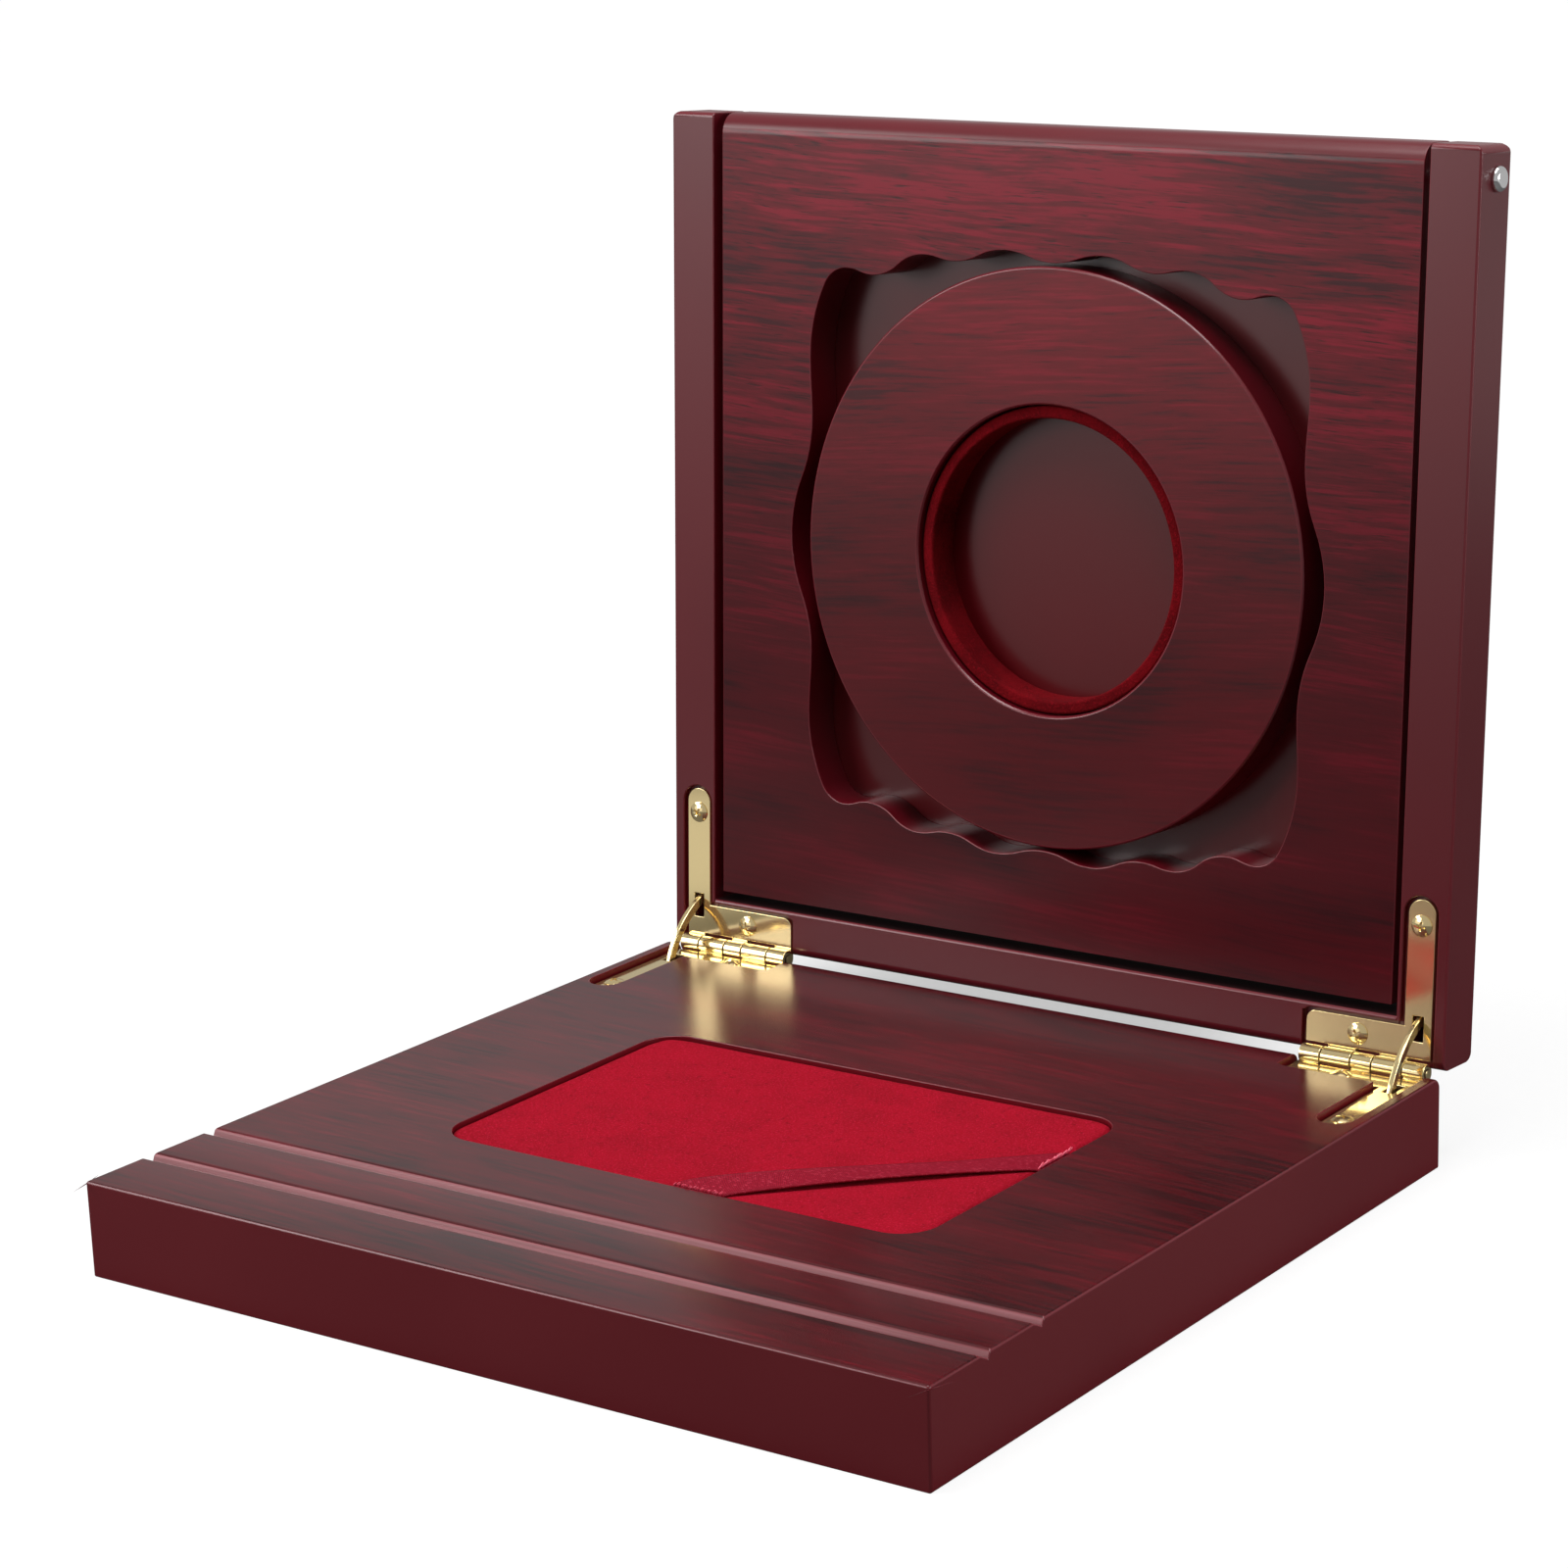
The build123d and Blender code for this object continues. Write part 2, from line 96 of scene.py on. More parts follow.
class Slot(Enum):
    """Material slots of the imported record."""

    LACQUER = "lacquered_wood"
    FILM = "grain_film_wood"
    VELVET = "red_velvet"
    DARK_VELVET = "dark_velvet"
    RIBBON = "red_ribbon"
    BRASS = "brass_plate"
    NICKEL = "nickel_plate"


class Side(Enum):
    """Left or right end of the box, as the sign of X there."""

    LEFT = -1
    RIGHT = 1

    @property
    def word(self) -> str:
        """The side's name in a piece's name."""
        return self.name.lower()


def linear(colour: str) -> tuple[float, float, float, float]:
    """Turns an sRGB hex colour to the linear values that a socket takes.

    Args:
        colour: six hex digits after a number sign.

    Returns:
        Linear red, green and blue, and an alpha of 1.
    """
    parts = [int(colour[place : place + 2], 16) / 255 for place in (1, 3, 5)]
    low, offset, gamma = 0.04045, 0.055, 2.4
    red, green, blue = (
        part / 12.92 if part <= low else ((part + offset) / (1 + offset)) ** gamma
        for part in parts
    )
    return (red, green, blue, 1.0)


# Places of a Mix node's sockets for colours and for numbers, which share their names
MIX_FACTOR, MIX_A, MIX_B, MIX_RESULT = 0, 6, 7, 2
NUMBER_A, NUMBER_B = 2, 3
# Settings of a mask with soft ends, and of the sum value * factor + extra
SOFT = {"interpolation_type": "SMOOTHSTEP"}
PRODUCT_SUM = {"operation": "MULTIPLY_ADD"}
# Middle value of a noise
NOISE_MIDDLE = 0.5


@dataclass(frozen=True)
class Pattern:
    """Noise of a real size, and the span of its values in which a second colour comes in.

    The size is about how far apart its features are: everywhere, or along X, Y and Z.
    """

    size_mm: float | Triple
    span: Pair = (0.35, 0.65)
    share: float = 1.0
    detail: float = 2.0
    roughness: float = 0.5
    distortion: float = 0.0


@dataclass(frozen=True)
class Nodes:
    """The node tree of a material or of the world, and the groups of nodes it takes."""

    tree: bpy.types.NodeTree

    def add(
        self, kind: str, sockets: dict[str | int, Value] | None = None, **settings: str
    ) -> bpy.types.Node:
        """Adds a node with its settings and links.

        Args:
            kind: the node's type name, after the word ShaderNode.
            sockets: number, hex colour or socket to link from, for each input.
            **settings: properties of the node.

        Returns:
            The new node.
        """
        node = self.tree.nodes.new(f"ShaderNode{kind}")
        for name, setting in settings.items():
            setattr(node, name, setting)
        for key, value in (sockets or {}).items():
            if isinstance(value, Socket):
                self.tree.links.new(value, node.inputs[key])
            else:
                plain = linear(value) if isinstance(value, str) else value
                node.inputs[key].default_value = plain
        return node

    def noise_mm(self, pattern: Pattern, place: Socket | None = None) -> Socket:
        """Adds a noise whose features have a real size.

        Args:
            pattern: the noise's size and detail.
            place: place that it reads, in metres, or None for Object coordinates.

        Returns:
            The noise's value, from 0 to 1.
        """
        if place is None:
            place = self.add("TexCoord").outputs["Object"]
        size = pattern.size_mm
        sizes = size if isinstance(size, tuple) else (size,) * 3
        scale = tuple(1 / (length * MM) for length in sizes)
        sockets = {
            "Vector": self.add("Mapping", {"Vector": place, "Scale": scale}).outputs[0],
            "Scale": 1.0,
            "Detail": pattern.detail,
            "Roughness": pattern.roughness,
            "Distortion": pattern.distortion,
        }
        return self.add("TexNoise", sockets).outputs[0]

    def tinted(
        self, under: Value, over: Value, value: Socket, span: Pair, most: Value
    ) -> tuple[Socket, Socket]:
        """Adds a colour that turns to another where a value rises.

        Args:
            under: the colour where the value is low.
            over: the colour where it is high.
            value: what the change reads.
            span: the values where the change starts and where it is full.
            most: share of the second colour when the change is full.

        Returns:
            The mixed colour and the second colour's share.
        """
        sockets = {"Value": value, "From Min": span[0], "From Max": span[1], "To Max": most}
        mask = self.add("MapRange", sockets, **SOFT).outputs["Result"]
        sockets = {MIX_FACTOR: mask, MIX_A: under, MIX_B: over}
        return self.add("Mix", sockets, data_type="RGBA").outputs[MIX_RESULT], mask

    def stained(self, under: Value, over: Value, pattern: Pattern) -> tuple[Socket, Socket]:
        """Adds a colour that turns to another where a pattern rises.

        Args:
            under: the colour where the pattern is low.
            over: the colour where it is high.
            pattern: what the change reads.

        Returns:
            The mixed colour and the pattern's noise.
        """
        value = self.noise_mm(pattern)
        return self.tinted(under, over, value, pattern.span, pattern.share)[0], value

    def rising(self, span_mm: Pair, least: float, most: float) -> Socket:
        """Adds a value that grows with the height over the floor.

        Args:
            span_mm: heights where it starts to grow and where it is full.
            least: the value low down.
            most: the value high up.

        Returns:
            The value.
        """
        place = self.add("TexCoord").outputs["Object"]
        sockets = {
            "Value": self.add("SeparateXYZ", {0: place}).outputs["Z"],
            "From Min": span_mm[0] * MM,
            "From Max": span_mm[1] * MM,
            "To Min": least,
            "To Max": most,
        }
        return self.add("MapRange", sockets, **SOFT).outputs["Result"]

    def coat(
        self, colour: Value, relief: Socket, depth_mm: float, gloss: dict[str, Value]
    ) -> Socket:
        """Adds a shader over a relief.

        Args:
            colour: base colour.
            relief: the pattern that stands out, from 0 to 1.
            depth_mm: height of the pattern's full range.
            gloss: the shader's other inputs.

        Returns:
            The shader.
        """
        sockets = {"Height": relief, "Strength": 1.0, "Distance": depth_mm * MM}
        normal = self.add("Bump", sockets).outputs["Normal"]
        sockets = {"Base Color": colour, "Normal": normal} | gloss
        return self.add("BsdfPrincipled", sockets).outputs["BSDF"]

    def seen_strength(self, shares: dict[str, Value]) -> Value:
        """Adds a strength that only some kinds of ray see.

        Args:
            shares: the strength that each kind of ray sees, by the Light Path's outputs.

        Returns:
            The strength, 0 for other rays.
        """
        path = self.add("LightPath")
        total: Value = 0.0
        for ray, strength in shares.items():
            sockets = {0: path.outputs[ray], 1: strength, 2: total}
            total = self.add("Math", sockets, **PRODUCT_SUM).outputs[0]
        return total


@dataclass(frozen=True)
class Finish:
    """A surface finish: one material, made once and shared by the pieces that have it."""

    name: str

    def material(self) -> bpy.types.Material:
        """The finish's material, made the first time it is asked for.

        Returns:
            The material, with its whole node tree.
        """
        found = bpy.data.materials.get(self.name)
        if found:
            return found
        made = bpy.data.materials.new(self.name)
        made.use_nodes = True
        made.node_tree.nodes.clear()
        nodes = Nodes(made.node_tree)
        nodes.add("OutputMaterial", {"Surface": self.surface(nodes)})
        return made

    def surface(self, nodes: Nodes) -> Socket:
        """Adds the finish's own nodes and gives its shader. Each kind has its own."""
        raise NotImplementedError


@dataclass(frozen=True)
class SatinLacquer(Finish):
    """Dyed satin lacquer sprayed over sanded fibreboard.

    No grain shows. The eye sees an even dark red-brown with faint clouds where the spray
    lay thicker, a soft broad gloss, and a very fine orange peel.
    """

    name: str = "satin_lacquer_on_fibreboard"
    colour: str = "#5E0816"
    clouded: str = "#640A18"
    roughness: float = 0.3
    ior: float = 1.5
    clouds: Pattern = Pattern(60.0)
    peel: Pattern = Pattern(1.6, detail=1.0)
    peel_depth_mm: float = 0.004

    def surface(self, nodes: Nodes) -> Socket:
        """Builds the clouds, the gloss and the orange peel."""
        colour, _ = nodes.stained(self.colour, self.clouded, self.clouds)
        peel = nodes.noise_mm(self.peel)
        gloss = {"Roughness": self.roughness, "IOR": self.ior}
        return nodes.coat(colour, peel, self.peel_depth_mm, gloss)


@dataclass(frozen=True)
class RosewoodFilm(Finish):
    """Printed rosewood paper film under clear lacquer.

    Fine streaks run along X from near black to bright red, about a millimetre wide, in
    slow bands, with short dark pores between them and a smooth semi-gloss coat on top.
    On the lid the grain is plainer low down, and the colour is painted brighter towards the
    top as painted light, where the lid is lit more strongly.
    """

    name: str = "rosewood_film_panel_face"
    ground: str = "#4E0812"
    red_streak: str = "#6A0A1C"
    dark_streak: str = "#2E080E"
    pore: str = "#1E0608"
    streaks: Pattern = Pattern((24.0, 1.0, 1.0), detail=4.0, roughness=0.6)
    bands: Pattern = Pattern((70.0, 16.0, 16.0))
    band_strength: float = 0.7
    softness: float = 0.2
    pores: Pattern = Pattern((7.0, 0.4, 0.4), (0.56, 0.74), 0.8)
    plain_mm: Pair = (50.0, 170.0)
    plain_streaks: float = 0.3
    # Painted light: heights and strength of the brightening towards the top of the lid
    redder_mm: Pair = (115.0, 175.0)
    redder: float = 0.7
    shift_mm: Triple = (420.0, 90.0, 130.0)
    tilt_deg: Triple = (0.0, -2.0, 0.0)
    sway_mm: float = 2.0
    sway: Pattern = Pattern((60.0, 30.0, 30.0), detail=1.0)
    roughness: float = 0.26
    ior: float = 1.34
    pore_depth_mm: float = 0.004

    def surface(self, nodes: Nodes) -> Socket:
        """Builds the streaks in their bands, the pores and the coat."""
        place = self.swaying_place(nodes)
        streaks, bands, pores = (
            nodes.noise_mm(pattern, place)
            for pattern in (self.streaks, self.bands, self.pores)
        )
        weight = nodes.rising(self.plain_mm, self.plain_streaks, 1.0)
        sockets = {MIX_FACTOR: weight, NUMBER_A: NOISE_MIDDLE, NUMBER_B: streaks}
        fine = nodes.add("Mix", sockets, data_type="FLOAT").outputs[0]
        sockets = {0: bands, 1: self.band_strength, 2: fine}
        grain = nodes.add("Math", sockets, **PRODUCT_SUM).outputs[0]
        middle = NOISE_MIDDLE * (1 + self.band_strength)
        share = nodes.rising(self.plain_mm, 0.0, self.pores.share)
        colour: Value = self.dark_streak
        for over, value, span, most in (
            (self.ground, grain, (middle - self.softness, middle), 1.0),
            (self.red_streak, grain, (middle, middle + self.softness), 1.0),
            (self.pore, pores, self.pores.span, share),
        ):
            colour, mask = nodes.tinted(colour, over, value, span, most)
        # Painted light: the colour is raised up to 1.7 times towards the top of the lid,
        # where more light falls
        painted_top_light_gain = nodes.rising(self.redder_mm, 0.0, self.redder)
        sockets = {0: colour, 1: painted_top_light_gain, 2: colour}
        colour = nodes.add("VectorMath", sockets, **PRODUCT_SUM).outputs[0]
        gloss = {"Roughness": self.roughness, "IOR": self.ior}
        return nodes.coat(colour, mask, -self.pore_depth_mm, gloss)

    def swaying_place(self, nodes: Nodes) -> Socket:
        """Adds the place that the grain reads, which sways a little across the board.

        Args:
            nodes: the material's nodes.

        Returns:
            Place in metres.
        """
        sockets = {
            "Vector": nodes.add("TexCoord").outputs["Object"],
            "Location": tuple(value * MM for value in self.shift_mm),
            "Rotation": tuple(radians(value) for value in self.tilt_deg),
        }
        place = nodes.add("Mapping", sockets).outputs["Vector"]
        sway = nodes.noise_mm(self.sway, place)
        full = 2 * self.sway_mm * MM
        sockets = {0: sway, 1: (0.0, full, full), 2: place}
        return nodes.add("VectorMath", sockets, **PRODUCT_SUM).outputs[0]


@dataclass(frozen=True)
class Velvet(Finish):
    """Cut pile flocked on card.

    The pile is deep red and matt, brushed into faint lighter and darker patches, with a
    dusty pink sheen where it is seen at a low angle, a fine speckle of single tufts and
    small darker spots where the pile is pressed down. The tufts are drawn coarser than
    real ones, to show at all.
    """

    name: str = "velvet_flock"
    colour: str = "#A50A22"
    brushed: str = "#980A1E"
    pressed: str = "#780614"
    tuft: str = "#C81C3E"
    sheen: str = "#FF5A6E"
    patches: Pattern = Pattern(12.0, (0.35, 0.70), 1.0, 3.0, 0.6)
    spots: Pattern = Pattern(1.6, (0.52, 0.74), 0.7, 3.0, 0.7)
    tufts: Pattern = Pattern(0.5, (0.50, 0.72), 0.9, 2.0, 0.7)
    pile_depth_mm: float = 0.2

    def surface(self, nodes: Nodes) -> Socket:
        """Builds the brushed patches, the tufts and the sheen."""
        colour: Value = self.colour
        for over, pattern in (
            (self.brushed, self.patches),
            (self.pressed, self.spots),
            (self.tuft, self.tufts),
        ):
            colour, relief = nodes.stained(colour, over, pattern)
        gloss = {
            "Roughness": 0.95,
            "Specular IOR Level": 0.1,
            "Sheen Weight": 0.03,
            "Sheen Roughness": 0.5,
            "Sheen Tint": self.sheen,
        }
        return nodes.coat(colour, relief, self.pile_depth_mm, gloss)


@dataclass(frozen=True)
class RibbonWeave(Finish):
    """Woven polyester ribbon.

    Fine diagonal ribs of a plain dyed weave with a slight silk gloss, darker than the
    velvet under it, with short pale specks where a thread lies bare. It reads the
    ribbon's own UV map, in metres across and along.
    """

    name: str = "woven_ribbon"
    thread: str = "#98102A"
    gap: str = "#680818"
    speck: str = "#D84A62"
    sheen: str = "#FF6A80"
    rib_mm: float = 0.34
    rib_span: Pair = (-0.6, 0.85)
    weave_angle_deg: float = 38.0
    rib_depth_mm: float = 0.03
    patches: Pattern = Pattern(0.5, (0.45, 0.75), 0.5, 2.0, 0.6)
    specks: Pattern = Pattern((0.9, 0.35, 0.35), (0.55, 0.70), 0.6, 2.0, 0.6)

    def surface(self, nodes: Nodes) -> Socket:
        """Builds the ribs, the specks and the silk gloss."""
        place = nodes.add("UVMap", uv_map="weave").outputs["UV"]
        turn = (0.0, 0.0, radians(self.weave_angle_deg))
        sockets = {
            "Vector": nodes.add("Mapping", {"Vector": place, "Rotation": turn}).outputs[0],
            # A wave texture repeats every tenth of a unit times pi
            "Scale": pi / 10 / (self.rib_mm * MM),
            "Distortion": 1.2,
            "Detail": 1.0,
        }
        bands = {"wave_type": "BANDS", "bands_direction": "Y", "wave_profile": "SIN"}
        ribs = nodes.add("TexWave", sockets, **bands).outputs["Fac"]
        colour, _ = nodes.tinted(self.gap, self.thread, ribs, self.rib_span, 1.0)
        for over, pattern in ((self.gap, self.patches), (self.speck, self.specks)):
            colour, _ = nodes.stained(colour, over, pattern)
        gloss = {
            "Roughness": 0.6,
            "Specular IOR Level": 0.1,
            "Sheen Weight": 0.06,
            "Sheen Roughness": 0.4,
            "Sheen Tint": self.sheen,
        }
        return nodes.coat(colour, ribs, self.rib_depth_mm, gloss)


@dataclass(frozen=True)
class FrayedThread(Finish):
    """Heat sealed ends of the ribbon's threads: bright pink, glossy and uneven."""

    name: str = "frayed_ribbon_thread"
    colour: str = "#FF6C88"
    deep: str = "#D82A4A"
    patches: Pattern = Pattern(0.6, detail=1.0)
    roughness: float = 0.35

    def surface(self, nodes: Nodes) -> Socket:
        """Builds the uneven pink."""
        colour, _ = nodes.stained(self.deep, self.colour, self.patches)
        sockets = {"Base Color": colour, "Roughness": self.roughness}
        return nodes.add("BsdfPrincipled", sockets).outputs["BSDF"]


@dataclass(frozen=True)
class PlatedMetal(Finish):
    """Rolled and tumbled sheet metal, plated.

    The plate is bright, with fine scratches in all directions from the tumbling drum and
    faint darker stains. About half of the light comes back in a clear reflection, and the
    scratches and the dust in them spread the rest widely.
    """

    name: str = "brass_plate"
    colour: str = "#F2DBA2"
    stain: str = "#D9B26A"
    roughness: float = 0.26
    scattered_roughness: float = 0.55
    scattered_metallic: float = 0.4
    scattered: float = 0.45
    stains: Pattern = Pattern(5.0, (0.45, 0.75), 0.6, 3.0, 0.6)
    scratches: Pattern = Pattern((5.4, 0.9, 0.9), (0.3, 0.7), 1.0, 3.0, 0.7, 1.0)
    scratch_depth_mm: float = 0.0025
    polished: float = 0.8
    scratched: float = 1.3

    def surface(self, nodes: Nodes) -> Socket:
        """Builds the stains, the scratches and the soft gloss."""
        colour, _ = nodes.stained(self.colour, self.stain, self.stains)
        scratches = nodes.noise_mm(self.scratches)
        sockets = {
            "Value": scratches,
            "From Min": self.scratches.span[0],
            "From Max": self.scratches.span[1],
            "To Min": self.roughness * self.polished,
            "To Max": self.roughness * self.scratched,
        }
        rough = nodes.add("MapRange", sockets).outputs["Result"]
        wide = {"Metallic": self.scattered_metallic, "Roughness": self.scattered_roughness}
        clear, spread = (
            nodes.coat(colour, scratches, self.scratch_depth_mm, gloss)
            for gloss in ({"Metallic": 1.0, "Roughness": rough}, wide)
        )
        sockets = {0: self.scattered, 1: clear, 2: spread}
        return nodes.add("MixShader", sockets).outputs["Shader"]


SIDES = SatinLacquer()
BASE_SIDES = SatinLacquer("satin_lacquer_on_base", "#6C0A18", "#70101C")
FLOORS = SatinLacquer("polished_lacquer_on_recess_floor", "#5E0812", "#580810", 0.22)
# Painted highlight: the eased edges are lacquer painted lighter and pinker than the sides,
# besides their own gloss
EDGES = SatinLacquer("rubbed_lacquer_on_eased_edges", "#6C1A24", "#76222C", 0.25)
# Painted highlight: the grooves' walls are lacquer painted pink, in lighter bands along X,
# as the highlight they catch
GROOVE_HIGHLIGHT_BANDS = Pattern((60.0, 0.9, 0.9))
GROOVES = SatinLacquer(
    "brushed_lacquer_in_grooves", "#7A242E", "#96464E", 0.4, clouds=GROOVE_HIGHLIGHT_BANDS
)
# Painted shade: near-black lacquer on the rail's top in the narrow gap under the panel,
# where shade falls
PAINTED_GAP_SHADE = SatinLacquer("dull_lacquer_in_gaps", "#1C0406", "#200508", 0.85, ior=1.2)
PANEL_FILM = RosewoodFilm()
BASE_FILM = RosewoodFilm(
    "rosewood_film_base_top",
    ground="#4E0A12",
    red_streak="#660A18",
    dark_streak="#300A0E",
    streaks=Pattern((26.0, 1.2, 1.2), detail=4.0, roughness=0.6),
    band_strength=0.8,
    softness=0.26,
    pores=Pattern((7.0, 0.4, 0.4), (0.56, 0.74), 0.35),
    plain_mm=(-1.0, 0.0),
    plain_streaks=0.5,
    shift_mm=(0.0, 0.0, 0.0),
    tilt_deg=(0.0, 2.0, 2.0),
    roughness=0.25,
    ior=1.42,
)
# The ring keeps the same painted light towards the top as the panel
RING_FILM = RosewoodFilm(
    "rosewood_film_coin_ring",
    ground="#560812",
    red_streak="#6A0A1A",
    dark_streak="#380A10",
    streaks=Pattern((22.0, 1.0, 1.0), detail=4.0, roughness=0.6),
    softness=0.24,
    pores=Pattern((7.0, 0.4, 0.4), (0.56, 0.74), 0.35),
    plain_streaks=0.4,
    shift_mm=(-260.0, 40.0, -310.0),
    tilt_deg=(0.0, 4.0, 0.0),
    ior=1.38,
)
CARD_VELVET = Velvet()
SEAT_VELVET = Velvet(
    "dark_velvet_flock", "#7A0712", "#5E040C", "#4A040A", tuft="#8C0C1A", sheen="#E02A3A"
)
WEAVE = RibbonWeave()
FRAY = FrayedThread()
BRASS = PlatedMetal()
# Painted shade: the pin's side is painted dark brown, so the gaps between the knuckles read
# as shade
PIN_PAINTED_SHADE = PlatedMetal("oiled_steel_in_barrel", "#3A2C20", "#241A14", 0.5)
NICKEL = PlatedMetal("nickel_plate", "#E2DFDA", "#C9C4BD", 0.4, scattered=0.7)


@dataclass(frozen=True)
class LidPlace:
    """Where the open lid stands, with its hinge edge and its inner face."""

    lean_deg: float = 3.5
    hinge_y: float = 95.1
    hinge_z: float = 19.8
    axis_behind: float = 0.6
    axis_below: float = 0.6

    @property
    def matrix(self) -> Matrix:
        """From the lid's own frame in metres, X right, Y up it, Z out of its face."""
        lean = radians(self.lean_deg)
        up = Vector((0, sin(lean), cos(lean)))
        out = Vector((0, -cos(lean), sin(lean)))
        origin = Vector((0, self.hinge_y, self.hinge_z))
        origin += self.axis_behind * up - self.axis_below * out
        columns = [Vector((1, 0, 0)), up, out, origin * MM]
        return Matrix([[column[row] for column in columns] for row in range(3)]).to_4x4()

    @property
    def out(self) -> Vector:
        """Direction out of the lid's inner face."""
        return self.matrix.to_3x3() @ Vector((0, 0, 1))


LID = LidPlace()

# Corners closer than this in a CAD mesh become one. The wide weld also joins the tiny
# edges where grooves and tenons meet a face, which the eased edges would fold over.
WELD_MM, WIDE_WELD_MM = 0.002, 0.06
# A face is flat along an axis, or looks out of the panel, from these shares of its normal
FLAT, FACING = 0.99, 0.97


def finished_mesh(name: str, work: Work) -> bpy.types.Mesh:
    """Makes a mesh of a bmesh.

    Args:
        name: the mesh's name.
        work: the bmesh, in metres. It is freed.

    Returns:
        The mesh.
    """
    mesh = bpy.data.meshes.new(name)
    work.to_mesh(mesh)
    work.free()
    return mesh


def linked_object(name: str, data: bpy.types.ID) -> Piece:
    """Makes an object and links it to the scene.

    Args:
        name: the object's name.
        data: its mesh, lamp or camera.

    Returns:
        The object.
    """
    made = bpy.data.objects.new(name, data)
    bpy.context.scene.collection.objects.link(made)
    return made


def new_piece(
    name: str,
    work: Work,
    finishes: tuple[Finish, ...],
    body: Body,
    slot: Slot,
    smooth_deg: float,
) -> Piece:
    """Makes an object of a finished bmesh, dresses it and lets it ride on its body.

    Args:
        name: the piece's name.
        work: the mesh, in metres, in the row's frame. It is freed.
        finishes: one finish for each of the mesh's material places.
        body: the body that it moves with.
        slot: the record's material slot; not used.
        smooth_deg: edges sharper than this stay sharp.

    Returns:
        The new object.
    """
    mesh = finished_mesh(name, work)
    mesh.shade_smooth()
    mesh.set_sharp_from_angle(angle=radians(smooth_deg))
    for finish in finishes:
        mesh.materials.append(finish.material())
    piece = linked_object(name, mesh)
    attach(piece, body.value)
    LOG.info("%s: %d faces on %s", name, len(mesh.polygons), body.value)
    return piece


def soften(piece: Piece, width_mm: float, edge_place: int) -> None:
    """Breaks a piece's sharp edges with a small round, as sanding or tumbling does.

    Args:
        piece: the object.
        width_mm: width of the round.
        edge_place: material place of the round, or -1 for its neighbours'.
    """
    bevel = piece.modifiers.new("eased_edges", "BEVEL")
    bevel.width = width_mm * MM
    bevel.segments = 3
    bevel.limit_method = "ANGLE"
    bevel.angle_limit = radians(32)
    bevel.profile = 0.5
    bevel.use_clamp_overlap = False
    bevel.material = edge_place
    even = piece.modifiers.new("even_shading", "WEIGHTED_NORMAL")
    even.weight = 100


def dressed_node(
    node: str,
    name: str,
    slot: Slot,
    finishes: tuple[Finish, ...],
    edge_mm: float,
    place_of: PlaceOf | None = None,
    edge_place: int = -1,
    weld_mm: float = WELD_MM,
) -> Piece:
    """Replaces a rigid CAD node by a copy with eased edges and its real finish.

    The copy's loose triangles are joined and its flat faces cleared first.

    Args:
        node: the CAD node.
        name: the new piece's name.
        slot: the record's material slot.
        finishes: one finish for each material place.
        edge_mm: width of the round on its sharp edges.
        place_of: gives a face's material place, or None for the first everywhere.
        edge_place: material place of the eased edges, or -1 for their neighbours'.
        weld_mm: corners closer than this become one.

    Returns:
        The new piece.
    """
    work = bmesh.new()
    work.from_mesh(frame["nodes"][node].data)
    bmesh.ops.remove_doubles(work, verts=work.verts, dist=weld_mm * MM)
    bmesh.ops.dissolve_limit(
        work, angle_limit=radians(0.4), verts=work.verts, edges=work.edges
    )
    if place_of:
        for face in work.faces:
            face.material_index = place_of(face)
    body = Body(frame["nodes"][node]["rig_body"])
    piece = new_piece(name, work, finishes, body, slot, 180.0)
    soften(piece, edge_mm, edge_place)
    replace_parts(piece, node)
    return piece


def revolved(profile: list[Pair], steps: int, closed: bool) -> Work:
    """Spins a profile round Z.

    Args:
        profile: radius and height of each corner, in millimetres.
        steps: faces round the turn.
        closed: whether the profile's last point joins its first.

    Returns:
        The turned mesh, in metres. The caller frees it.
    """
    work = bmesh.new()
    corners = [work.verts.new((radius * MM, 0, height * MM)) for radius, height in profile]
    edges = [work.edges.new(pair) for pair in zip(corners, corners[1:])]
    if closed:
        edges.append(work.edges.new((corners[-1], corners[0])))
    bmesh.ops.spin(
        work,
        geom=corners + edges,
        cent=(0, 0, 0),
        axis=(0, 0, 1),
        angle=2 * pi,
        steps=steps,
        use_merge=True,
    )
    bmesh.ops.remove_doubles(work, verts=work.verts, dist=WELD_MM / 4 * MM)
    bmesh.ops.recalc_face_normals(work, faces=work.faces)
    return work


